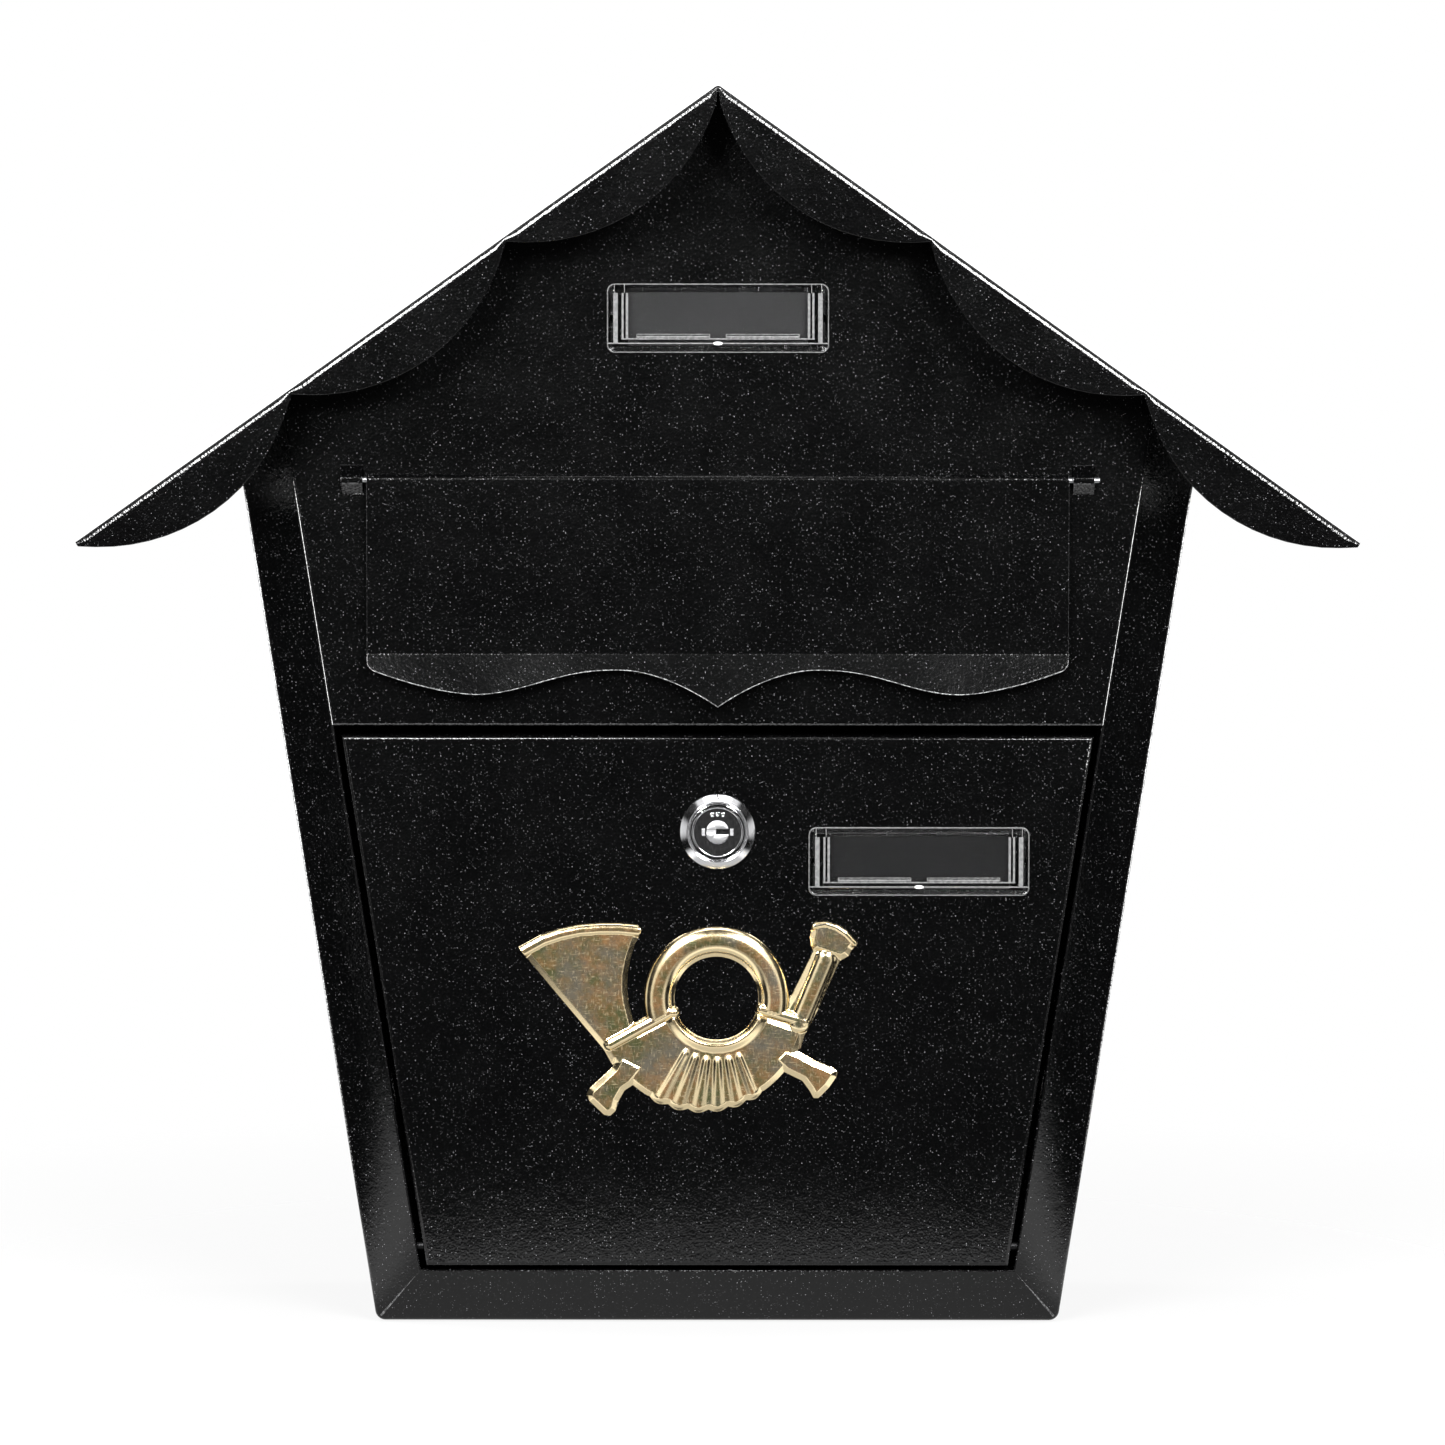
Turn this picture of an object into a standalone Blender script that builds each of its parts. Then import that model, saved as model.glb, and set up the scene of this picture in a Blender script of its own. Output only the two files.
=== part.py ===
"""Wall mounted mailbox with a gable roof, in metres.

X runs to the right, Y towards the wall and Z up. The origin lies on the wall face of the back panel,
in the middle of its four screw holes. A "drop" is a distance below the roof's apex, and an "inset" is
a distance inwards from the tapering side of the body, square to that side.
"""

import math

import bmesh
import bpy
from mathutils import Vector

MM = 0.001

# Sheet metal
SHEET = 1.0 * MM
THIN_SHEET = 0.8 * MM
FLAP_SHEET = 0.6 * MM
FIT_GAP = 0.3 * MM
WELD_GAP = 0.4 * MM

# Roof
APEX_HEIGHT = 210 * MM
ROOF_HALF_WIDTH = 185 * MM
ROOF_TIP_DROP = 131.6 * MM
ROOF_DEPTH = 108 * MM
SCALLOPS_PER_SLOPE = 3
SCALLOP_SEGMENTS = 8
SCALLOP_SAGITTA = 14.6 * MM
CUSP_DEPTH = 1.25 * MM
ROOF_SLOPE = ROOF_TIP_DROP / ROOF_HALF_WIDTH
ROOF_ANGLE = math.atan(ROOF_SLOPE)

# Body: a channel wrapped round both sides and the bottom, with a slanted front corner
BODY_DROP = 363.3 * MM
BOTTOM_HALF_WIDTH = 100.1 * MM
TAPER = 0.1562
TAPER_COSINE = math.cos(math.atan(TAPER))
FRONT_Y = -84 * MM
BEVEL_Y = -75 * MM
JAMB_REAR_Y = -72 * MM
OPENING_INSET = 15.66 * MM
SILL_DROP = 346.8 * MM
SILL_STRETCH = (BODY_DROP - SILL_DROP) / OPENING_INSET
BACK_FLANGE = 12 * MM
BACK_FLANGE_Y = -SHEET - FIT_GAP
SHELL_TOP_GAP = 0.8 * MM

# Back panel
GABLE_FLANGE = 12 * MM
GABLE_FLANGE_INSET = 14 * MM
GABLE_FLANGE_STEP = 0.1 * MM
SCREW_HOLE_RADIUS = 3.5 * MM
SCREW_HOLE_X = 70 * MM
SCREW_HOLE_DROPS = (120 * MM, 300 * MM)

# Front panel and its mail slot
PANEL_BOTTOM_DROP = 185.9 * MM
PANEL_FLANGE = 14.5 * MM
SLOT_HALF_WIDTH = 95 * MM
SLOT_TOP_DROP = 128 * MM
SLOT_BOTTOM_DROP = 156 * MM

# Flap, its hinge rod and the two eyes that hold the rod
HINGE_DROP = 114.9 * MM
HINGE_Y = -86.1 * MM
ROD_RADIUS = 0.8 * MM
ROD_HALF_LENGTH = 111 * MM
KNUCKLE_RADIUS = 1.7 * MM
KNUCKLE_SEGMENTS = 12
KNUCKLE_TURN = math.radians(290)
FLAP_HALF_WIDTH = 101.9 * MM
FLAP_FOLD = 50.6 * MM
LIP_REACH = 16 * MM
LIP_ANGLE = math.radians(22)
POINT_BELOW = 65.5 * MM
TROUGH_BELOW = 55.1 * MM
TROUGH_X = 28.5 * MM
LOBE_BELOW = 62 * MM
LOBE_X = 70.4 * MM
CORNER_RISE = 7.3 * MM
WAVE_SEGMENTS = 24
EYE_INNER_X = 102.7 * MM
EYE_OUTER_X = 109.6 * MM
EYE_HALF_HEIGHT = 4.95 * MM
EYE_SHOULDER = 3.5 * MM
EYE_CROWN = 2.0 * MM
EYE_SHOULDER_PROUD = 2.7 * MM
EYE_PROUD = 4.2 * MM

# Door and its hinge pins
DOOR_TOP_DROP = 190.5 * MM
DOOR_BOTTOM_DROP = 344.7 * MM
DOOR_GAP = 2.6 * MM
DOOR_FLANGE = 12 * MM
PIVOT_DROP = DOOR_BOTTOM_DROP - 4.5 * MM
PIVOT_Y = FRONT_Y + 3.6 * MM
PIVOT_Z = APEX_HEIGHT - PIVOT_DROP
PIN_RADIUS = 1.4 * MM
PIN_HOLE_RADIUS = 1.75 * MM
PIN_HEAD_RADIUS = 2.4 * MM
PIN_HEAD = 1.2 * MM
PIN_PAST_JAMB = 1.5 * MM

# Cam lock
LOCK_DROP = 217.6 * MM
LOCK_SEGMENTS = 48
BEZEL_RADIUS = 11 * MM
BEZEL_CROWN_RADIUS = 9.6 * MM
BEZEL_PROUD = 2.8 * MM
BEZEL_EDGE = 0.9 * MM
BEZEL_BORE_RADIUS = 8.65 * MM
BARREL_RADIUS = 8.9 * MM
BARREL_HOLE_RADIUS = 9.25 * MM
BARREL_REAR_Y = -68 * MM
PLUG_BORE_RADIUS = 7.95 * MM
PLUG_RADIUS = 7.6 * MM
PLUG_FACE_Y = FRONT_Y - 2.6 * MM
PLUG_REAR_Y = -70.3 * MM
TAIL_BORE_RADIUS = 5.3 * MM
TAIL_HALF_WIDTH = 3.0 * MM
TAIL_REAR_Y = -65.2 * MM
KEYWAY_HALF_WIDTH = 4.7 * MM
KEYWAY_HALF_HEIGHT = 1.1 * MM
KEYWAY_DEPTH = 12.5 * MM
KEYWAY_DISH_RADIUS = 3.2 * MM
KEYWAY_DISH_DEPTH = 0.5 * MM
TUMBLER_COUNT = 4
TUMBLER_PITCH = 2.4 * MM
TUMBLER_FIRST_Y = PLUG_FACE_Y + 3.6 * MM
TUMBLER_THICKNESS = 0.6 * MM
TUMBLER_HALF_LENGTH = 6.9 * MM
TUMBLER_HALF_HEIGHT = 2.6 * MM
TUMBLER_WINDOW_HALF_LENGTH = 5.2 * MM
TUMBLER_WINDOW_HALF_HEIGHT = 1.5 * MM
NUT_FLAT_RADIUS = 11.5 * MM
NUT_THICKNESS = 3.5 * MM
CAM_FRONT_Y = -67.4 * MM
CAM_THICKNESS = 2.0 * MM
CAM_HALF_WIDTH = 7.0 * MM
CAM_REACH = 38 * MM
CAM_NECK = 5.0 * MM
WASHER_RADIUS = 5.5 * MM
WASHER_THICKNESS = 1.0 * MM
SCREW_RADIUS = 1.6 * MM
SCREW_HEAD_RADIUS = 3.6 * MM
SCREW_HEAD = 2.0 * MM
SCREW_DEPTH = 6.0 * MM

# Name plates
PLATE_HALF_WIDTH = 32.2 * MM
PLATE_HALF_HEIGHT = 10.05 * MM
PLATE_CORNER = 2 * MM
PLATE_PROUD = 3.7 * MM
PLATE_WINDOW_HALF_WIDTH = 25.5 * MM
PLATE_WINDOW_TOP = 7.3 * MM
PLATE_WINDOW_BOTTOM = -4.8 * MM
PLATE_WINDOW_DEPTH = 1.4 * MM
PLATE_POCKET_HALF_WIDTH = 26.4 * MM
PLATE_POCKET_HALF_HEIGHT = 7.8 * MM
PLATE_POCKET_DEPTH = 1.5 * MM
CARD_THICKNESS = 0.7 * MM
PLATE_PEG_X = 29.3 * MM
PEG_RADIUS = 1.2 * MM
PEG_HOLE_RADIUS = 1.55 * MM
PEG_LENGTH = 2.4 * MM
UPPER_PLATE = (0.0, 68 * MM)
LOWER_PLATE = (58.7 * MM, 226.3 * MM)

# Emblem, a post horn: places are from the middle of its outline
EMBLEM_X = -8.3 * MM
EMBLEM_DROP = 272.5 * MM
EMBLEM_BASE = 1.4 * MM
EMBLEM_RELIEF = 2.2 * MM
HORN_CENTRE = (8.0 * MM, 6.05 * MM)
HORN_RADIUS = 21.2 * MM
HORN_HOLE_RADIUS = 12.0 * MM
FAN_RADIUS = 33.0 * MM
FAN_START = math.radians(-137)
FAN_END = math.radians(-45)
FAN_PLEATS = 8
STUD_RADIUS = 1.3 * MM
CLIP_RADIUS = 5 * MM
CLIP_THICKNESS = 0.6 * MM
CLIP_HOLE_RADIUS = 1.65 * MM

# Colour, roughness and metallic value of each finish
FINISHES = {
    "black_coating": ((0.018, 0.018, 0.020), 0.45, 0.0),
    "chrome": ((0.78, 0.78, 0.79), 0.12, 1.0),
    "zinc": ((0.55, 0.56, 0.58), 0.32, 1.0),
    "gold": ((0.72, 0.58, 0.30), 0.35, 1.0),
    "clear_plastic": ((0.75, 0.77, 0.78), 0.12, 0.0),
    "dark_card": ((0.035, 0.035, 0.038), 0.7, 0.0),
}


# ---------------------------------------------------------------- geometry helpers


def height(drop):
    """Z of a level below the apex."""
    return APEX_HEIGHT - drop


def side_x(drop, inset=0.0):
    """Half the body's width at a level, less an inset."""
    return BOTTOM_HALF_WIDTH + (BODY_DROP - drop) * TAPER - inset / TAPER_COSINE


def under_roof(x, gap):
    """Drop of the roof's underside at x, plus a gap square to it."""
    return abs(x) * ROOF_SLOPE + (SHEET + gap) / math.cos(ROOF_ANGLE)


def top_corner(inset, gap):
    """X and drop where a line along the side, at an inset, meets the roof's underside less a gap."""
    x = side_x(under_roof(0, gap), inset) / (1 + TAPER * ROOF_SLOPE)
    return x, under_roof(x, gap)


def offset_path(points, distance, closed=False):
    """A path of 2-D points moved to the left of its direction, with mitred corners."""
    count = len(points)
    normals = []
    for i in range(count if closed else count - 1):
        along = (Vector(points[(i + 1) % count]) - Vector(points[i])).normalized()
        normals.append(Vector((-along.y, along.x)))
    moved = []
    for i, point in enumerate(points):
        before = normals[i - 1] if closed or i > 0 else normals[0]
        after = normals[i] if closed or i < count - 1 else normals[-1]
        moved.append(Vector(point) + (before + after) * distance / (1 + before.dot(after)))
    return moved


def mirrored(right_half):
    """A closed outline from its right half, given from bottom to top: mirror image points in X follow."""
    left_half = [(-x, z) for x, z in reversed(right_half) if x > 1e-9]
    return list(right_half) + left_half


def arc_between(start, end, sagitta, segments):
    """Points of a circular arc between two 2-D points, ends included, bulging right of the chord."""
    start = Vector(start)
    end = Vector(end)
    chord = end - start
    along = chord.normalized()
    bulge = Vector((along.y, -along.x))
    radius = ((chord.length / 2) ** 2 + sagitta**2) / (2 * sagitta)
    half_angle = math.asin(chord.length / 2 / radius)
    centre = (start + end) / 2 + bulge * (sagitta - radius)
    points = []
    for i in range(segments + 1):
        angle = half_angle * (2 * i / segments - 1)
        points.append(centre + along * radius * math.sin(angle) + bulge * radius * math.cos(angle))
    return points


def circle(radius, segments, centre=(0.0, 0.0)):
    """Points round a 2-D circle."""
    turn = 2 * math.pi / segments
    return [
        (centre[0] + radius * math.cos(i * turn), centre[1] + radius * math.sin(i * turn))
        for i in range(segments)
    ]


def rounded_rectangle(half_width, half_height, corner, centre=(0.0, 0.0), segments=4):
    """Outline of a rectangle with round corners, anticlockwise."""
    points = []
    for quarter, (sx, sz) in enumerate(((1, 1), (-1, 1), (-1, -1), (1, -1))):
        for i in range(segments + 1):
            angle = (quarter + i / segments) * math.pi / 2
            x = sx * (half_width - corner) + corner * math.cos(angle)
            z = sz * (half_height - corner) + corner * math.sin(angle)
            points.append((centre[0] + x, centre[1] + z))
    return points


def rectangle(left, right, bottom, top):
    """Outline of a rectangle, anticlockwise."""
    return [(left, bottom), (right, bottom), (right, top), (left, top)]


# ---------------------------------------------------------------- object helpers


def dress(obj, finish):
    """The object's own material."""
    colour, roughness, metallic = FINISHES[finish]
    material = bpy.data.materials.new(obj.name + "_" + finish)
    material.use_nodes = True
    shader = material.node_tree.nodes["Principled BSDF"]
    shader.inputs["Base Color"].default_value = (*colour, 1.0)
    shader.inputs["Roughness"].default_value = roughness
    shader.inputs["Metallic"].default_value = metallic
    if finish == "clear_plastic":
        shader.inputs["Alpha"].default_value = 0.35
    obj.data.materials.append(material)


def skin(name, rings, finish=None, closed=False):
    """A closed solid whose surface runs through rings of as many points each."""
    bm = bmesh.new()
    loops = [[bm.verts.new(point) for point in ring] for ring in rings]
    following = loops[1:] + loops[:1] if closed else loops[1:]
    for near, far in zip(loops, following):
        for i in range(len(near)):
            bm.faces.new((near[i - 1], near[i], far[i], far[i - 1]))
    if not closed:
        bm.faces.new(loops[0])
        bm.faces.new(loops[-1])
    bmesh.ops.recalc_face_normals(bm, faces=bm.faces)
    mesh = bpy.data.meshes.new(name)
    bm.to_mesh(mesh)
    bm.free()
    obj = bpy.data.objects.new(name, mesh)
    bpy.context.scene.collection.objects.link(obj)
    if finish:
        dress(obj, finish)
    return obj


def prism(name, outline, front, rear, finish=None):
    """An outline in X and Z, extruded from one Y to another."""
    return skin(name, [[(x, y, z) for x, z in outline] for y in (front, rear)], finish)


def tray(name, outline, front, depth, sheet, finish):
    """A pressed panel: a front plate with a flange folded back along every edge."""
    inner = offset_path(outline, sheet, closed=True)
    steps = ((outline, front), (outline, front + depth), (inner, front + depth), (inner, front + sheet))
    return skin(name, [[(x, y, z) for x, z in path] for path, y in steps], finish)


def turned(name, profile, x, z, finish=None, bored=False, segments=LOCK_SEGMENTS):
    """A round piece about a line along Y: the profile is radii and Ys, closed on itself if bored."""
    rings = [[(px, y, pz) for px, pz in circle(radius, segments, (x, z))] for radius, y in profile]
    return shade_round(skin(name, rings, finish, closed=bored))


def pin_along_x(name, profile, y, z, finish=None, segments=16):
    """A round piece about a line along X: the profile is radii and Xs."""
    rings = [[(x, py, pz) for py, pz in circle(radius, segments, (y, z))] for radius, x in profile]
    return shade_round(skin(name, rings, finish))


def shade_round(obj):
    obj.data.shade_smooth()
    obj.data.set_sharp_from_angle(angle=math.radians(35))
    return obj


def combine(target, operation, tools):
    """Boolean modifiers on the target, one for each tool. The tools are guides and not sub-parts."""
    for tool in tools:
        modifier = target.modifiers.new(tool.name, "BOOLEAN")
        modifier.operation = operation
        modifier.solver = "EXACT"
        modifier.object = tool
        tool.hide_render = True
        tool.display_type = "WIRE"


def cut(target, *tools):
    combine(target, "DIFFERENCE", tools)


def add(target, *tools):
    combine(target, "UNION", tools)


def hole_along_y(name, radius, x, z, front, rear, segments=24):
    """A cutter for a round hole through a panel."""
    return turned(name, ((radius, front), (radius, rear)), x, z, segments=segments)


def joint_axis(name, location, pieces):
    """An empty on a joint's axis, parent of the pieces that turn about it."""
    empty = bpy.data.objects.new(name, None)
    empty.location = location
    bpy.context.scene.collection.objects.link(empty)
    bpy.context.view_layer.update()
    for piece in pieces:
        piece.parent = empty
        piece.matrix_parent_inverse = empty.matrix_world.inverted()
    return empty


# ---------------------------------------------------------------- casing


def make_roof():
    """One folded sheet: two slopes, and a scalloped flange bent down along the front edge."""
    along = Vector((math.cos(ROOF_ANGLE), -math.sin(ROOF_ANGLE)))
    inwards = Vector((-math.sin(ROOF_ANGLE), -math.cos(ROOF_ANGLE)))
    slope_length = ROOF_HALF_WIDTH / math.cos(ROOF_ANGLE)
    chord = slope_length / SCALLOPS_PER_SLOPE
    scallop = arc_between((0.0, 0.0), (chord, 0.0), SCALLOP_SAGITTA, SCALLOP_SEGMENTS)
    stations = []
    for k in range(SCALLOPS_PER_SLOPE):
        for point in scallop[1:]:
            stations.append((k * chord + point.x, CUSP_DEPTH - point.y))
    front = -ROOF_DEPTH
    profiles = []
    for travel, flange in stations:
        corners = ((0.0, 0.0), (0.0, front), (flange, front))
        corners += ((flange, front + SHEET), (SHEET, front + SHEET), (SHEET, 0.0))
        profiles.append([(along * travel + inwards * depth, y) for depth, y in corners])
    apex_corners = ((0.0, 0.0), (0.0, front), (CUSP_DEPTH, front))
    apex_corners += ((CUSP_DEPTH, front + SHEET), (SHEET, front + SHEET), (SHEET, 0.0))
    apex = [(Vector((0.0, -depth / math.cos(ROOF_ANGLE))), y) for depth, y in apex_corners]
    right = [[(p.x, y, APEX_HEIGHT + p.y) for p, y in profile] for profile in profiles]
    middle = [[(p.x, y, APEX_HEIGHT + p.y) for p, y in apex]]
    left = [[(-x, y, z) for x, y, z in ring] for ring in reversed(right)]
    return skin("roof", left + middle + right, "black_coating")


def make_body_shell():
    """One folded strip round both sides and the bottom: back flange, side, slanted corner and jamb."""
    outer = [
        (BACK_FLANGE, BACK_FLANGE_Y),
        (0.0, BACK_FLANGE_Y),
        (0.0, BEVEL_Y),
        (OPENING_INSET, FRONT_Y),
        (OPENING_INSET, JAMB_REAR_Y),
    ]
    profile = outer + list(reversed(offset_path(outer, SHEET)))
    top = []
    bottom = []
    for inset, y in profile:
        x, drop = top_corner(inset, SHELL_TOP_GAP)
        top.append((x, y, height(drop)))
        drop = BODY_DROP - inset * SILL_STRETCH
        bottom.append((side_x(drop, inset), y, height(drop)))
    left_top = [(-x, y, z) for x, y, z in top]
    left_bottom = [(-x, y, z) for x, y, z in bottom]
    shell = skin("body_shell", [left_top, left_bottom, bottom, top], "black_coating")
    reach = jamb_x() + SHEET / TAPER_COSINE + PIN_PAST_JAMB + FIT_GAP
    ends = ((PIN_HOLE_RADIUS, -reach), (PIN_HOLE_RADIUS, reach))
    cut(shell, pin_along_x("cutter_jamb_pin_holes", ends, PIVOT_Y, PIVOT_Z))
    return shell


def jamb_x():
    """X of the right jamb's door side, at the hinge's height."""
    return side_x(PIVOT_DROP, OPENING_INSET)


def make_back_panel():
    """Flat panel on the wall, with four screw holes and a flange under each slope of the roof."""
    x, drop = top_corner(0.0, WELD_GAP)
    right_half = [(BOTTOM_HALF_WIDTH, height(BODY_DROP)), (x, height(drop))]
    outline = mirrored(right_half + [(0.0, height(under_roof(0, WELD_GAP)))])
    panel = prism("back_panel", outline, -SHEET, 0.0, "black_coating")
    x, drop = top_corner(GABLE_FLANGE_INSET, WELD_GAP + GABLE_FLANGE_STEP)
    ridge = under_roof(0, WELD_GAP + GABLE_FLANGE_STEP)
    slope = [(x, height(drop)), (0.0, height(ridge)), (-x, height(drop))]
    band = slope + list(reversed(offset_path(slope, SHEET)))
    add(panel, prism("guide_gable_flange", band, -SHEET - GABLE_FLANGE, -SHEET / 2))
    for side in (-1, 1):
        for drop in SCREW_HOLE_DROPS:
            name = f"cutter_screw_hole_{side * SCREW_HOLE_X / MM:.0f}_{drop / MM:.0f}"
            x = side * SCREW_HOLE_X
            cut(panel, hole_along_y(name, SCREW_HOLE_RADIUS, x, height(drop), -3 * SHEET, 2 * SHEET))
    return panel


def make_eye_guides(side):
    """A bridge lanced out of the front panel round the hinge rod, and the gap that it leaves."""
    z = height(HINGE_DROP)
    inner, outer = sorted((side * EYE_INNER_X, side * EYE_OUTER_X))
    foot = FRONT_Y + THIN_SHEET / 2
    arch = [
        (foot, z + EYE_HALF_HEIGHT),
        (FRONT_Y, z + EYE_HALF_HEIGHT),
        (FRONT_Y - EYE_SHOULDER_PROUD, z + EYE_SHOULDER),
        (FRONT_Y - EYE_PROUD, z + EYE_CROWN),
        (FRONT_Y - EYE_PROUD, z - EYE_CROWN),
        (FRONT_Y - EYE_SHOULDER_PROUD, z - EYE_SHOULDER),
        (FRONT_Y, z - EYE_HALF_HEIGHT),
        (foot, z - EYE_HALF_HEIGHT),
    ]
    band = arch + list(reversed(offset_path(arch, THIN_SHEET)))
    bridge = skin(f"guide_eye_{side}", [[(x, py, pz) for py, pz in band] for x in (inner, outer)])
    gap_height = EYE_HALF_HEIGHT - THIN_SHEET
    outline = rectangle(inner, outer, z - gap_height, z + gap_height)
    gap = prism(f"cutter_eye_gap_{side}", outline, FRONT_Y - SHEET, FRONT_Y + 2 * SHEET)
    return bridge, gap


def make_front_panel():
    """Pressed panel with a gable top, the mail slot, two hinge eyes and the upper plate's peg holes."""
    x, drop = top_corner(OPENING_INSET + WELD_GAP, WELD_GAP)
    bottom_x = side_x(PANEL_BOTTOM_DROP, OPENING_INSET + WELD_GAP)
    right_half = [(bottom_x, height(PANEL_BOTTOM_DROP)), (x, height(drop))]
    outline = mirrored(right_half + [(0.0, height(under_roof(0, WELD_GAP)))])
    panel = tray("front_panel", outline, FRONT_Y, PANEL_FLANGE, THIN_SHEET, "black_coating")
    slot = rectangle(-SLOT_HALF_WIDTH, SLOT_HALF_WIDTH, height(SLOT_BOTTOM_DROP), height(SLOT_TOP_DROP))
    cut(panel, prism("cutter_mail_slot", slot, FRONT_Y - SHEET, FRONT_Y + 2 * SHEET))
    for side in (-1, 1):
        bridge, gap = make_eye_guides(side)
        cut(panel, gap)
        add(panel, bridge)
    drill_plate_holes(panel, "upper", UPPER_PLATE)
    return panel


# ---------------------------------------------------------------- flap


def wave_below_hinge(x):
    """How far the flap's lower edge lies below its hinge: a point, a trough and a lobe on each side."""
    x = abs(x)
    if x < TROUGH_X:
        return TROUGH_BELOW + (POINT_BELOW - TROUGH_BELOW) * (1 - x / TROUGH_X) ** 1.8
    if x < LOBE_X:
        share = (1 - math.cos(math.pi * (x - TROUGH_X) / (LOBE_X - TROUGH_X))) / 2
        return TROUGH_BELOW + (LOBE_BELOW - TROUGH_BELOW) * share**1.25
    share = (x - LOBE_X) / (FLAP_HALF_WIDTH - LOBE_X)
    return LOBE_BELOW - CORNER_RISE * share**1.6


def make_flap():
    """One sheet: rolled into a knuckle round the rod, flat below it, and bent out at the lip."""
    z = height(HINGE_DROP)
    middle = KNUCKLE_RADIUS
    path = []
    for i in range(KNUCKLE_SEGMENTS + 1):
        angle = math.pi - KNUCKLE_TURN * (1 - i / KNUCKLE_SEGMENTS)
        path.append((HINGE_Y + middle * math.cos(angle), z + middle * math.sin(angle)))
    face = HINGE_Y - middle
    lip_end = LIP_REACH * math.tan(LIP_ANGLE)
    path.append((face, z - FLAP_FOLD))
    path.append((face - lip_end, z - FLAP_FOLD - LIP_REACH))
    sheet = path + list(reversed(offset_path(path, FLAP_SHEET)))
    ends = (-FLAP_HALF_WIDTH, FLAP_HALF_WIDTH)
    flap = skin("flap", [[(x, py, pz) for py, pz in sheet] for x in ends], "black_coating")
    margin = 2 * MM
    wave = []
    for i in range(2 * WAVE_SEGMENTS + 1):
        x = FLAP_HALF_WIDTH * (i / WAVE_SEGMENTS - 1)
        wave.append((x, z - wave_below_hinge(x)))
    floor = z - FLAP_FOLD - LIP_REACH - margin
    ends_left = [(-FLAP_HALF_WIDTH - margin, floor), (-FLAP_HALF_WIDTH - margin, wave[0][1])]
    ends_right = [(FLAP_HALF_WIDTH + margin, wave[-1][1]), (FLAP_HALF_WIDTH + margin, floor)]
    outline = ends_left + wave + ends_right
    cut(flap, prism("cutter_flap_wave", outline, face - lip_end - margin, HINGE_Y + margin))
    return shade_round(flap)


def make_flap_rod():
    ends = ((ROD_RADIUS, -ROD_HALF_LENGTH), (ROD_RADIUS, ROD_HALF_LENGTH))
    return pin_along_x("flap_hinge_rod", ends, HINGE_Y, height(HINGE_DROP), "zinc", segments=12)


# ---------------------------------------------------------------- door


def make_door():
    """Pressed door with a flange all round and holes for the lock, pins, emblem and lower plate."""
    inset = OPENING_INSET + DOOR_GAP
    bottom = (side_x(DOOR_BOTTOM_DROP, inset), height(DOOR_BOTTOM_DROP))
    top = (side_x(DOOR_TOP_DROP, inset), height(DOOR_TOP_DROP))
    door = tray("door", mirrored([bottom, top]), FRONT_Y, DOOR_FLANGE, THIN_SHEET, "black_coating")
    front = FRONT_Y - SHEET
    rear = FRONT_Y + 2 * SHEET
    lock_z = height(LOCK_DROP)
    lock_hole = ("cutter_lock_hole", BARREL_HOLE_RADIUS, 0.0, lock_z, front, rear, LOCK_SEGMENTS)
    cut(door, hole_along_y(*lock_hole))
    for index, (x, z) in enumerate(stud_places()):
        cut(door, hole_along_y(f"cutter_stud_hole_{index}", PEG_HOLE_RADIUS, x, z, front, rear, 16))
    drill_plate_holes(door, "lower", LOWER_PLATE)
    reach = jamb_x() + SHEET
    ends = ((PIN_HOLE_RADIUS, -reach), (PIN_HOLE_RADIUS, reach))
    cut(door, pin_along_x("cutter_door_pin_holes", ends, PIVOT_Y, PIVOT_Z))
    return door


def make_door_pin(name, side):
    """Shouldered pin: its head lies inside the door's flange and its shank passes through the jamb."""
    inset = OPENING_INSET + DOOR_GAP + THIN_SHEET
    under_head = side_x(PIVOT_DROP + PIN_HEAD_RADIUS, inset) - FIT_GAP
    tip = jamb_x() + SHEET / TAPER_COSINE + PIN_PAST_JAMB
    profile = [
        (PIN_HEAD_RADIUS, side * (under_head - PIN_HEAD)),
        (PIN_HEAD_RADIUS, side * under_head),
        (PIN_RADIUS, side * under_head),
        (PIN_RADIUS, side * tip),
    ]
    return pin_along_x(name, profile, PIVOT_Y, PIVOT_Z, "zinc")


# ---------------------------------------------------------------- cam lock


def make_lock_housing():
    """Turned housing: a bezel with a conical flank in front of the door and a barrel through it."""
    seat = FRONT_Y - FIT_GAP
    crown = FRONT_Y - BEZEL_PROUD
    profile = [
        (BARREL_RADIUS, BARREL_REAR_Y),
        (BARREL_RADIUS, seat),
        (BEZEL_RADIUS, seat),
        (BEZEL_RADIUS, seat - BEZEL_EDGE),
        (BEZEL_CROWN_RADIUS, crown),
        (BEZEL_BORE_RADIUS, crown),
        (BEZEL_BORE_RADIUS, crown + BEZEL_EDGE),
        (PLUG_BORE_RADIUS, crown + BEZEL_EDGE),
        (PLUG_BORE_RADIUS, PLUG_REAR_Y + FIT_GAP),
        (TAIL_BORE_RADIUS, PLUG_REAR_Y + FIT_GAP),
        (TAIL_BORE_RADIUS, BARREL_REAR_Y),
    ]
    return turned("lock_housing", profile, 0.0, height(LOCK_DROP), "chrome", bored=True)


def tumbler_y(index):
    return TUMBLER_FIRST_Y + index * TUMBLER_PITCH


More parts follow.
